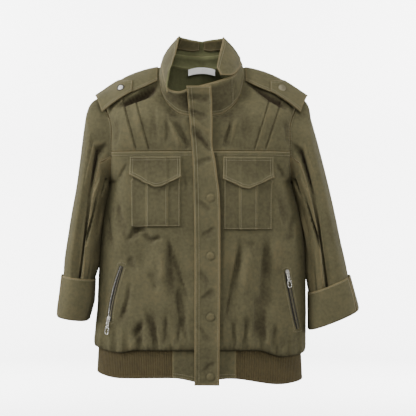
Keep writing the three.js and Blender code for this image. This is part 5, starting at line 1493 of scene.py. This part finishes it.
class JACKET_OT_collar(PieceOperator, bpy.types.Operator):
    """Make the collar stand, the leaf, its folded tabs and the neck label"""

    bl_idname = "jacket.collar"
    bl_label = "Collar"

    def build(self, sizes):
        ats = np.linspace(-1, 1, 241)[None, :]
        shares = np.linspace(0, 1, 22)[:, None]
        stand = self.facing_out(stand_points(ats, shares))
        ends = smooth(0, 0.05, 1 - np.abs(ats)) * np.sin(math.pi * shares) ** 0.5
        extra = 0.9 * ripple(ats * 270, shares * 100, 1.9) * ends
        sunk = np.where(ats < 0, 6.0, 3.6) * smooth(0.66, 0.8, np.abs(ats))
        sunk = sunk * smooth(0, 0.05, 1 - np.abs(ats))
        extra = extra - sunk * np.sin(math.pi * np.clip(shares * 1.12, 0, 1)) ** 0.8
        extra = extra + 2.5 * smooth(0.8, 1, shares) * (1 - smooth(0.46, 0.62, np.abs(ats)))
        stand = stand.moved(extra)
        # Painted shade: the sunk front of the stand and the dips of its ripples are painted darker.
        cloth_piece("collar_stand_cloth", "collar_stand", stand, COLLAR_CLOTH, TRIM_FINISH,
                    wear=painted_fold_shading(extra, 2), reach=0.6, fade=0.9)
        sew_rows(stand, ends=(2.2, 8.0, -3.0))
        sew_rows(stand, sides=(3.0,), trim=2)
        for span in (0.752, 0.765):
            rows = np.linspace(0.5, 20.5, 60)
            sew(stand.at(rows, np.full(60, 120 + 120 * span)))

        leaf_ats = np.linspace(-LEAF_END, LEAF_END, 221)[None, :]
        leaf = self.facing_out(leaf_points(leaf_ats, shares))
        extra = 0.7 * ripple(leaf_ats * 270, shares * 80, 4.4) * np.sin(math.pi * shares) ** 0.5
        leaf = leaf.moved(LEAF_LIFT + extra)
        # Painted shade in the dips of the leaf's ripples.
        cloth_piece("collar_leaf_cloth", "collar_leaf", leaf, COLLAR_CLOTH, TRIM_FINISH,
                    wear=painted_fold_shading(extra, 2), fade=0.95)
        sew_rows(leaf, ends=(-2.6, -7.5))
        sew_rows(leaf, sides=(2.8, -2.8), trim=2)
        for side, name in SIDES:
            spans = np.linspace(0.022, 0.25, 40)[None, :]
            corner = 1 - smooth(0.022, 0.1, spans)
            low = 0.42 + 0.09 * corner**2
            rows = np.linspace(0, 1, 16)[:, None]
            tab = self.facing_out(leaf_points(side * spans, mix(low, 0.96, rows))).moved(-0.4)
            inner_face = Panel(tab.grid - tab.normals * TWILL, -tab.normals)
            cloth_piece(f"collar_tab_{name}_cloth", f"collar_tab_{name}", tab, TWILL, ("trim", "trim"),
                        wear=0.25)
            sew_rows(inner_face, sides=(2.2, -2.2), ends=(2.2,), trim=1)
        self.label()
        make_sewing("collar_stitching")

    @staticmethod
    def facing_out(points):
        return Panel(points, (points + (0, 8, 0)) * (1, 1, 0))

    @staticmethod
    def label():
        x = np.linspace(-28, 28, 57)[None, :]
        share = np.linspace(0, 1, 14)[:, None]
        span = 0.13 * np.abs(x) / 31
        y = NECK_AT["y"](span) - 2.5 + 0.25 * np.sin(x / 6.0) * np.sin(math.pi * share)
        z = mix(-10, 3, share) - 5 * (x / 28) ** 2
        panel = Panel(stack(x, y, z), np.array([0, 1, 0.0]))
        cloth_piece("neck_label_tape", "neck_label", panel, 0.6, ("label",), slot="label", held="hung")


class JACKET_OT_placket(PieceOperator, bpy.types.Operator):
    """Make the placket over the front zip, with the marks of the snaps under it"""

    bl_idname = "jacket.placket"
    bl_label = "Placket"

    def build(self, sizes):
        down = mix(51, 645, steps(594, sizes.cloth_step / MM * 0.62))[:, None]
        share = np.linspace(0, 1, 34)[None, :]
        x = mix(PLACKET_AT["left"](down), PLACKET_AT["right"](down), share)
        y = -PLACKET_FACE_AT["face"](down) - PLACKET_FACE_AT["lift"](down) * share**2
        z = -down + 0 * share
        panel = Panel(stack(x, y, z), np.array([0, -1, 0.0]))
        extra = 0.5 * ripple(x * 1.5, z, 5.1) + 1.3 * fold_height(PLACKET_CREASES, x, z, 0.6)
        for height in SNAP_HEIGHTS:
            away = np.hypot(x - SNAP_X, z - height)
            extra = extra + 1.2 * (1 - smooth(5.8, 8.2, away)) - 0.7 * np.exp(-((away - 9.2) / 1.3) ** 2)
        extra = extra + 0.25 * np.exp(-((share * 50 - 5.5) / 2.2) ** 2) * np.sin(z / 3.2)
        extra = extra + (1.3 + 0.4 * np.sin(z / 37)) * share**8
        panel = panel.moved(extra)
        # Painted shade: the placket's creases and the ring round each snap's mark are painted darker, and
        # the marks lighter.
        cloth_piece("placket_cloth", "placket", panel, TWILL, BODY_FINISH,
                    wear=painted_fold_shading(1.7 * extra, 2) + 0.05, fade=0.85)
        sew_rows(panel, sides=(3.0, 9.0, -3.6), trim=2)
        sew_rows(panel, ends=(3.0, -3.0), trim=1)
        make_sewing("placket_stitching")


class JACKET_OT_hem(PieceOperator, bpy.types.Operator):
    """Make the rib-knit hem and its woven ends"""

    bl_idname = "jacket.hem"
    bl_label = "Hem"

    def build(self, sizes):
        rib_pitch = sizes.rib_pitch / MM
        drop = np.linspace(0, 1, 20)[:, None]
        rows = []
        for side, in_front, begin, end in (
            (-1, True, hem_share(-1, HEM_END_LEFT_X), 1),
            (-1, False, 1, 0),
            (1, False, 0, 1),
            (1, True, 1, hem_share(1, HEM_END_RIGHT_X)),
        ):
            count = int(abs(end - begin) * 235 / rib_pitch * 6)
            share = np.linspace(begin, end, count, endpoint=False)[None, :]
            rows.append(hem_points(side, in_front, share, drop))
        rows.append(hem_points(1, True, np.full((1, 1), hem_share(1, HEM_END_RIGHT_X)), drop))
        grid = np.concatenate(rows, axis=1)
        rib = Panel(grid, grid * (0.2, 1, 0))
        run = lengths(grid[10])[None, :]
        wave = np.cos(2 * math.pi * run / rib_pitch)
        height = -0.85 * (0.5 - 0.5 * wave) ** 1.4 + 0 * drop
        height = height + 0.5 * np.sin(run / 17 + 1.2 * np.sin(run / 41)) * (0.3 + drop)
        rib = rib.moved(height - 0.4)
        # Painted shade between the ribs, lighter on their crests.
        cloth_piece("hem_rib_knit", "hem_rib", rib, KNIT, ("rib",), slot="rib", held="stretched",
                    wear=0.16 * wave, inside=grid - rib.normals * KNIT)
        zip_at = float(zip_x(HEM_TOP_Z))
        for name, begin, end in (
            ("hem_end_right", HEM_END_LEFT_X - 0.8, zip_at - SEAM / 2),
            ("hem_end_left", zip_at + SEAM / 2, HEM_END_RIGHT_X + 0.8),
        ):
            x = np.linspace(begin, end, 30)
            side = -1 if name == "hem_end_right" else 1
            shares = np.array([hem_share(-1 if v < 0 else 1, v) for v in x])[None, :]
            points = hem_points(side, True, shares, drop)
            points[..., 0] = x
            panel = Panel(points, np.array([0, -1, 0.0]))
            ruffle = 0.8 * np.sin(x / 3.1) * np.exp(-drop * 5) + 0.4 * ripple(x, drop * 60, 6.2)
            panel = panel.moved(ruffle)
            # Painted shade in the dips of the ruffles.
            cloth_piece(name + "_cloth", name, panel, TWILL, BODY_FINISH, wear=painted_fold_shading(ruffle, 1.5))
            sew_rows(panel, sides=(2.4 * side,), ends=(-3.0, -9.0), trim=1)
        make_sewing("hem_stitching")


class JACKET_OT_chest_pockets(PieceOperator, bpy.types.Operator):
    """Make the pleated chest pockets and their pointed flaps"""

    bl_idname = "jacket.chest_pockets"
    bl_label = "Chest pockets"

    def build(self, sizes):
        step = sizes.cloth_step / MM * 0.8
        for pocket in CHEST_POCKETS:
            name = pocket["name"]
            front = FRONTS[name.split("_")[0]]
            low, high = sorted((pocket["inner"], pocket["outer"]))
            first, second = pocket["pleats"]
            x = np.unique(np.concatenate([
                mix(low, high, steps(high - low, step)), [first - 1.6, first, second, second + 1.6]]))
            z = mix(pocket["top"], pocket["foot"], steps(pocket["top"] - pocket["foot"], step))
            base, normal = self.on_front(front, *np.meshgrid(x, z))
            swell = 1.6 * np.sin(math.pi * np.clip((x - low) / (high - low), 0, 1)) ** 0.6
            fullness = smooth(0, 30, pocket["top"] - z) * smooth(0, 18, z - pocket["foot"])
            extra = 0.3 * ripple(x * 1.3, z[:, None], 7.7) + 0.5 * swell * fullness[:, None]
            patch = Panel(base + normal * (2.0 + self.pleat(pocket, x) + extra)[..., None], normal)
            # Painted shade in the patch's dips, over a darker tone for the whole patch; lighter along the
            # pleat edges.
            cloth_piece(name + "_patch_cloth", name + "_patch", patch, DOUBLED, TRIM_FINISH,
                        wear=painted_fold_shading(extra, 2) - 0.26 + 0.24 * self.pleat_edge(pocket, x))
            sew_rows(patch, sides=(2.4, -2.4), ends=(-2.4,), trim=1)
            for place in (first + 1.8, second - 1.8):
                column = float(np.interp(place, x, np.arange(len(x))))
                rows = np.linspace(0, len(z) - 1, 90)
                sew(patch.at(rows, np.full(90, column)))
            self.flap(pocket, front, low, high, step)
        make_sewing("chest_pocket_stitching")

    @staticmethod
    def pleat(pocket, x):
        first, second = pocket["pleats"]
        return 2.0 * smooth(first - 1.6, first, x) * smooth(-second - 1.6, -second, -x)

    @staticmethod
    def pleat_edge(pocket, x):
        first, second = pocket["pleats"]
        return np.exp(-((x - first) / 1.2) ** 2) + np.exp(-((x - second) / 1.2) ** 2)

    def flap(self, pocket, front, low, high, step):
        name = pocket["name"]
        left, right = low - 2, high + 2
        low_foot = pocket["innerZ"] if low == pocket["inner"] else pocket["outerZ"]
        high_foot = pocket["outerZ"] if low == pocket["inner"] else pocket["innerZ"]
        x = mix(left, right, steps(right - left, step))
        x[np.argmin(np.abs(x - pocket["pointX"]))] = pocket["pointX"]
        foot = np.interp(x, [left, pocket["pointX"], right], [low_foot, pocket["pointZ"], high_foot])
        share = np.linspace(0, 1, 26)[:, None]
        z = mix(pocket["top"] + 2, foot[None, :], share)
        grid_x = np.broadcast_to(x[None, :], z.shape)
        base, normal = self.on_front(front, grid_x, z)
        curl = 4.6 * share**3 + 0.5 * ripple(grid_x, z, 8.8) * share
        flap = Panel(base + normal * (4.1 + 0.8 * self.pleat(pocket, x) + curl)[..., None], normal)
        cloth_piece(name + "_flap_cloth", name + "_flap", flap, TWILL, TRIM_FINISH, wear=0.05 * curl - 0.26)
        sew_rows(flap, sides=(2.2, -2.2, 7.0, -7.0), ends=(-2.2, -7.0, 2.2, 7.0), trim=1)

    @staticmethod
    def on_front(front, x, z):
        """Points of the front seen at (x, z), found on a coarse lattice and filled in between."""
        rows, cols = x.shape
        coarse = np.unique(np.concatenate([np.arange(0, rows, 5), [rows - 1]]))
        thin = np.unique(np.concatenate([np.arange(0, cols, 5), [cols - 1]]))
        row, column = front.locate(x[np.ix_(coarse, thin)], z[np.ix_(coarse, thin)])

        def fill(values):
            wide = np.stack([np.interp(np.arange(cols), thin, line) for line in values])
            return np.stack([np.interp(np.arange(rows), coarse, line) for line in wide.T], axis=1)

        return front.at(fill(row), fill(column))


class JACKET_OT_zips(PieceOperator, bpy.types.Operator):
    """Make the zip pockets' tapes, teeth and rows of stitches, and finish the front zip"""

    bl_idname = "jacket.zips"
    bl_label = "Zips"

    def build(self, sizes):
        pitch = sizes.tooth_pitch / MM
        for pocket in POCKET_ZIPS:
            name = pocket["name"]
            front = FRONTS[name.split("_")[0]]
            line = spline(pocket["line"], np.linspace(0, 2.9999, 70))
            middle, normal = front.front_points(line[:, 0], line[:, 1])
            ahead = unit(np.gradient(middle, axis=0))
            across = unit(np.cross(normal, ahead))
            offsets = np.linspace(-TAPE_HALF, TAPE_HALF, 9)
            grid = middle[:, None] + across[:, None] * offsets[None, :, None]
            seat = 0.5 - 0.35 * (np.abs(offsets) / TAPE_HALF) ** 2
            grid = grid + normal[:, None] * seat[None, :, None]
            tape = Panel(grid, np.broadcast_to(normal[:, None], grid.shape))
            obj = shell_object(name + "_tape", tape, TAPE_THICKNESS, ("tape",))
            put(obj, "metal", name + "_zip")
            flat = (2 * TAPE_HALF * MM, float(lengths(middle)[-1]) * MM)
            for row, side in ((0, -1), (1, 1)):
                points, going, out = resample(middle, normal, pitch)
                sideways = unit(np.cross(out, going))
                part = 1.0 + pocket["parted"] * np.sin(math.pi * np.linspace(0, 1, len(points))) ** 0.6
                places = points + sideways * side * part[:, None] + out * 1.3 + going * (pitch / 2) * row
                # Painted shade: on the parted zip one row of teeth is bright metal and the other dark
                # metal, and the other zip's teeth, under their welt, are all dark metal.
                finish = material("metal" if pocket["parted"] and side < 0 else "dark_metal")
                teeth = name + ("_teeth_left" if side < 0 else "_teeth_right")
                size = (pitch * 0.55, 1.5, 1.3)
                repeated(teeth, "block", size, finish, places, going, out, "metal")
            for offset in (-WELT_STITCHES, WELT_STITCHES):
                sew(front.front_points(*(middle + across * offset).T[[0, 2]]))
            turn = np.linspace(0, math.pi, 24)
            outer = 1 if name.startswith("left") else -1
            for (x, z), past, bow, way in ((line[-1], -3.0, -4.0, outer), (line[0], 3.0, 4.0, 1)):
                bow_x = x + way * WELT_STITCHES * np.cos(turn)
                sew(front.front_points(bow_x, z + past + bow * np.sin(turn)))
        make_sewing("zip_pocket_stitching")
        paint_node("front_zip", "dark_metal")


class JACKET_OT_hardware(PieceOperator, bpy.types.Operator):
    """Finish the sliders, pulls and hidden snaps, and make the epaulet snaps' caps"""

    bl_idname = "jacket.hardware"
    bl_label = "Hardware"

    def build(self, sizes):
        for node in ("right_pocket_slider", "left_pocket_slider", "front_zip_slider", "front_zip_pull"):
            paint_node(node, "metal")
        for number in range(1, len(SNAP_HEIGHTS) + 1):
            paint_node(f"placket_snap_{number}", "dark_metal")
        for side, name, finish in ((-1, "right", "snap_metal"), (1, "left", "dark_metal")):
            place, out = EPAULET_PLACES[side]
            self.cap(name, place, out, finish)
            self.pull(name)

    @staticmethod
    def pull(name):
        """A link, a ring and a frame, in the place of the pull's plain solid and moving with it."""
        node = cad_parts[name + "_pocket_pull"]
        corners = np.unique(np.round([tuple(v.co) for v in node.data.vertices], 6), axis=0) / MM
        middle = corners.mean(axis=0)
        directions = np.linalg.svd(corners - middle)[2]
        down, across, out = (v * np.sign(v[axis]) for v, axis in zip(directions, (2, 0, 1)))
        down, out = -down, -out
        reach = (corners - middle) @ down
        top = middle + down * (reach.min() + 0.7)
        points, faces = [], []
        for begin, end, half, wire, rise in PULL_LOOPS:
            turn = np.linspace(0, 2 * math.pi, LOOP_TURNS, endpoint=False)
            square = 0.45 if half > 3 else 0.75
            ring = np.stack([np.cos(turn), np.sin(turn)], axis=-1)
            ring = np.sign(ring) * np.abs(ring) ** square
            line = ring * (half, (end - begin) / 2) + (0, (begin + end) / 2)
            ahead = unit(np.roll(line, -1, axis=0) - np.roll(line, 1, axis=0))
            aside = np.stack([ahead[:, 1], -ahead[:, 0]], axis=-1)
            first = len(points)
            for place, side in zip(line, aside):
                for k in range(WIRE_TURNS):
                    angle = 2 * math.pi * k / WIRE_TURNS
                    flat = place + side * wire * math.cos(angle)
                    height = rise + wire * math.sin(angle)
                    points.append((top + across * flat[0] + down * flat[1] + out * height) * MM)
            loop = ring_faces(LOOP_TURNS, WIRE_TURNS, LOOP_TURNS)
            faces += [tuple(first + corner for corner in face) for face in loop]
        mesh = bpy.data.meshes.new(name + "_pull_links")
        mesh.from_pydata([tuple(p) for p in points], [], faces)
        work = bmesh.new()
        work.from_mesh(mesh)
        bmesh.ops.recalc_face_normals(work, faces=work.faces)
        work.to_mesh(mesh)
        work.free()
        mesh.shade_smooth()
        mesh.materials.append(material("metal"))
        put(add_object(name + "_pull_links", mesh), "metal", name + "_pocket_pull", body=name + "_pull")

    @staticmethod
    def cap(name, place, out, finish):
        """A pressed cap over the epaulet's snap, whose rim on the bright snap is painted near black as
        painted shade.
        """
        out = unit(np.asarray(out) + np.array([0, -0.75, 0]))
        place = place + out * 0.8
        first = unit(np.cross(out, np.array([0.2, 1, 0.1])))
        second = np.cross(out, first)
        points = []
        for radius, height in CAP_PROFILE:
            for k in range(CAP_TURNS):
                a = 2 * math.pi * k / CAP_TURNS
                radial = first * math.cos(a) + second * math.sin(a)
                points.append((place + radial * max(radius, 0.02) + out * height) * MM)
        rings = len(CAP_PROFILE)
        faces = [(a, d, c, b) for a, b, c, d in ring_faces(rings, CAP_TURNS, rings - 1)]
        faces.append(tuple(range(CAP_TURNS)))
        faces.append(tuple(reversed(range((rings - 1) * CAP_TURNS, rings * CAP_TURNS))))
        mesh = bpy.data.meshes.new(name + "_snap_cap")
        mesh.from_pydata([tuple(p) for p in points], [], faces)
        mesh.update()
        mesh.shade_smooth()
        mesh.materials.append(material(finish))
        # Painted shade: the bright snap's rim takes the near-black zip tape finish.
        mesh.materials.append(material("tape" if finish == "snap_metal" else "dark_metal"))
        for face in mesh.polygons:
            face.material_index = int(CAP_SHADED_RIM[0] * CAP_TURNS <= face.index < CAP_SHADED_RIM[1] * CAP_TURNS)
        put(add_object(name + "_snap_cap", mesh), "metal", name + "_epaulet_snap")


class JACKET_OT_epaulets(PieceOperator, bpy.types.Operator):
    """Make the shoulder straps and the tabs laid over them"""

    bl_idname = "jacket.epaulets"
    bl_label = "Epaulets"

    def build(self, sizes):
        strap = curves(STRAP_ROWS, "along")
        tab_back = curve(TAB_BACK_ROWS["along"], TAB_BACK_ROWS["share"])

        def points(side, along, share):
            def passing(axis):
                back, mid, front = (strap[where + axis](along) for where in ("back", "mid", "front"))
                weights = ((1 - share) * (1 - 2 * share), 4 * share * (1 - share), share * (2 * share - 1))
                return back * weights[0] + mid * weights[1] + front * weights[2]

            return stack(side * passing("X"), passing("Y"), passing("Z"))

        for side, name in SIDES:
            lift = STRAP_LIFT[side]
            outward = np.array([side * 0.3, -0.5, 1.0])
            share = np.linspace(0, 1, 26)[None, :]
            along = np.linspace(0, 0.93, 60)[:, None]
            base = Panel(points(side, along + 0 * share, share + 0 * along), outward)
            extra = 0.35 * ripple(base.grid[..., 0], base.grid[..., 2] * 2, 9.1)
            top = base.moved(lift + extra)
            # Painted shade in the dips of the strap's ripples, lighter on their crests.
            cloth_piece(name + "_strap_cloth", name + "_epaulet_strap", top, DOUBLED, TRIM_FINISH,
                        wear=0.06 + 0.2 * extra)
            sew_rows(top, sides=(2.4, -2.4, 7.0, -7.0), trim=1)
            along = np.linspace(0.47, 1, 46)[:, None]
            start = tab_back(along)
            shares = mix(start, 1.0, share)
            base = Panel(points(side, along + 0 * shares, shares), outward)
            extra = 0.3 * ripple(base.grid[..., 0], base.grid[..., 2] * 2, 3.3)
            tab_lift = lift + 0.6 + 1.4
            tab = base.moved(tab_lift + extra)
            # Painted shade in the dips of the tab's ripples, lighter on their crests.
            cloth_piece(name + "_tab_cloth", name + "_epaulet_tab", tab, DOUBLED, TRIM_FINISH,
                        wear=0.1 + 0.2 * extra)
            sew_rows(tab, sides=(2.4, -2.4, 7.0, -7.0), ends=(2.4,), trim=1)
            at_along, at_share = EPAULET_SNAP
            near_snap = np.linspace(0.6, 0.72, 13)[:, None]
            seat = Panel(points(side, near_snap + 0 * share, share + 0 * near_snap), outward)
            place, out = seat.at(np.array([(at_along - 0.6) / 0.01]), np.array([at_share * 25]))
            EPAULET_PLACES[side] = (place[0] + out[0] * (tab_lift + 0.3), out[0])
        make_sewing("epaulet_stitching")


class JACKET_OT_studio(PieceOperator, bpy.types.Operator):
    """Make the pale room, the soft lights and the camera"""

    bl_idname = "jacket.studio"
    bl_label = "Studio"

    def build(self, sizes):
        profile = [(2.6, -0.95)]
        profile += [(2.6 + math.sin(a), 0.05 - math.cos(a)) for a in np.linspace(0.15, 1.57, 12)]
        profile += [(3.6, 2.6)]
        turns = 72
        around = [2 * math.pi * k / turns for k in range(turns)]
        points = [(r * math.cos(a), r * math.sin(a), z) for r, z in profile for a in around]
        faces = [face[::-1] for face in ring_faces(len(profile), turns, len(profile) - 1)]
        faces.append(tuple(range(turns)))
        room = bpy.data.meshes.new("room")
        room.from_pydata(points, [], faces)
        room.shade_smooth()
        room.materials.append(plain_material("Studio paper", (0.92, 0.92, 0.92), 0.9))
        backdrop = add_object("room", room)
        backdrop.visible_diffuse = False
        backdrop.visible_glossy = False
        for name, place, size, power in (
            ("key", (-1.6, -1.3, 1.6), 0.5, 41),
            ("fill", (0.4, -2.4, 0.7), 1.0, 32),
            ("top", (0.2, -0.7, 1.8), 0.9, 15),
            ("side_left", (-2.3, -0.6, 0.0), 0.8, 58),
            ("side_right", (2.3, -0.6, 0.0), 0.8, 32),
            ("back_key", (-1.5, 2.1, 1.3), 0.7, 62),
            ("back_fill", (1.9, 1.9, 0.3), 1.0, 34),
            ("backdrop_left", (-1.5, 1.2, 0.9), 1.2, 330),
            ("backdrop_right", (1.5, 1.2, 0.9), 1.2, 330),
            ("backdrop_behind", (0.0, -2.4, 1.6), 1.4, 300),
        ):
            light = bpy.data.lights.new(name, "AREA")
            light.size = size
            light.energy = power
            obj = add_object(name, light)
            obj.location = place
            aim = np.array([0, 0.05, -0.3]) - np.array(place)
            if "backdrop" in name:
                aim = np.array([-place[0] * 0.3, np.sign(place[1]) * 2.4, -0.9])
            obj.visible_camera = False
            obj.rotation_mode = "QUATERNION"
            obj.rotation_quaternion = Vector(aim).to_track_quat("-Z", "Y")
        world = bpy.data.worlds.new("studio")
        bpy.context.scene.world = world
        world.use_nodes = True
        world.node_tree.nodes["Background"].inputs["Color"].default_value = (1, 1, 1, 1)
        world.node_tree.nodes["Background"].inputs["Strength"].default_value = 0.34
        camera = bpy.data.cameras.new("camera")
        camera.lens = 92.8
        camera.sensor_width = 36
        camera.clip_end = 20
        obj = add_object("camera", camera)
        obj.location = (0.0133, -2.2, -0.291)
        obj.rotation_euler = (math.radians(90), 0, 0)
        bpy.context.scene.camera = obj


def length_property(name, description, default, low, high):
    return bpy.props.FloatProperty(
        name=name, description=description, default=default, min=low, max=high, unit="LENGTH")


class JacketSizes(bpy.types.PropertyGroup):
    cloth_step: length_property(
        "Cloth step", "Spacing of the points that the cloth is made of", 0.0032, 0.002, 0.02)
    crease_strength: bpy.props.FloatProperty(
        name="Crease strength", description="How deep the fine creases are against their tables",
        default=1.4, min=0, max=3)
    stitch_pitch: length_property(
        "Stitch pitch", "Distance from one stitch to the next", 0.0034, 0.002, 0.01)
    stitch_length: length_property(
        "Stitch length", "Length of thread that shows between two holes", 0.0026, 0.001, 0.01)
    thread_width: length_property(
        "Thread width", "Thickness of the sewing thread", 0.0011, 0.0003, 0.002)
    rib_pitch: length_property(
        "Rib pitch", "Distance from one knitted rib to the next", 0.0036, 0.002, 0.01)
    tooth_pitch: length_property(
        "Tooth pitch", "Distance from one zip tooth to the next on the same side", 0.0028, 0.001, 0.01)


def colour_property(name, description, default):
    return bpy.props.FloatVectorProperty(
        name=name, description=description, default=default, min=0, max=1, subtype="COLOR")


class JacketColours(bpy.types.PropertyGroup):
    cloth: colour_property("Cloth", "Olive of the twill", (0.083, 0.0745, 0.037))
    # The wrong side's own colour, lightened as painted light for the inside of the neck, which the lamps
    # reach little.
    inside: colour_property("Inside", "Wrong side of the twill", (0.115, 0.118, 0.055))
    rib: colour_property("Rib", "Brown olive of the knitted hem", (0.066, 0.0505, 0.0200))
    thread: colour_property("Thread", "Sewing thread", (0.20, 0.175, 0.10))
    metal: colour_property("Metal", "Nickel of the zips and the bright snap", (0.78, 0.76, 0.71))
    # Also the zip teeth that are painted dark as painted shade.
    dark_metal: colour_property("Dark metal", "Painted snap and hidden snaps", (0.20, 0.18, 0.12))
    tape: colour_property("Zip tape", "Cloth that carries the teeth", (0.012, 0.010, 0.006))
    label: colour_property("Label", "Blank woven label", (0.92, 0.91, 0.87))


class JACKET_PT_panel(bpy.types.Panel):
    """Sizes, colours and the pieces of the jacket"""

    bl_idname = "JACKET_PT_panel"
    bl_label = "Utility jacket"
    bl_space_type = "VIEW_3D"
    bl_region_type = "UI"
    bl_category = "Jacket"

    def draw(self, context):
        for group in (context.scene.jacket_sizes, context.scene.jacket_colours):
            box = self.layout.box()
            for name in group.__annotations__:
                box.prop(group, name)
        for operator in OPERATORS:
            self.layout.operator(operator.bl_idname)


OPERATORS = (
    JACKET_OT_fronts,
    JACKET_OT_back,
    JACKET_OT_sleeves,
    JACKET_OT_cuffs,
    JACKET_OT_collar,
    JACKET_OT_placket,
    JACKET_OT_hem,
    JACKET_OT_chest_pockets,
    JACKET_OT_zips,
    JACKET_OT_epaulets,
    JACKET_OT_hardware,
    JACKET_OT_studio,
)
CLASSES = (JacketSizes, JacketColours, *OPERATORS, JACKET_PT_panel)


def register():
    for cls in CLASSES:
        bpy.utils.register_class(cls)
    bpy.types.Scene.jacket_sizes = bpy.props.PointerProperty(type=JacketSizes)
    bpy.types.Scene.jacket_colours = bpy.props.PointerProperty(type=JacketColours)


def unregister():
    del bpy.types.Scene.jacket_colours
    del bpy.types.Scene.jacket_sizes
    for cls in reversed(CLASSES):
        bpy.utils.unregister_class(cls)


def main():
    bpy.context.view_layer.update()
    register()
    for operator in OPERATORS:
        group, name = operator.bl_idname.split(".")
        getattr(getattr(bpy.ops, group), name)()


if __name__ == "__main__":
    main()
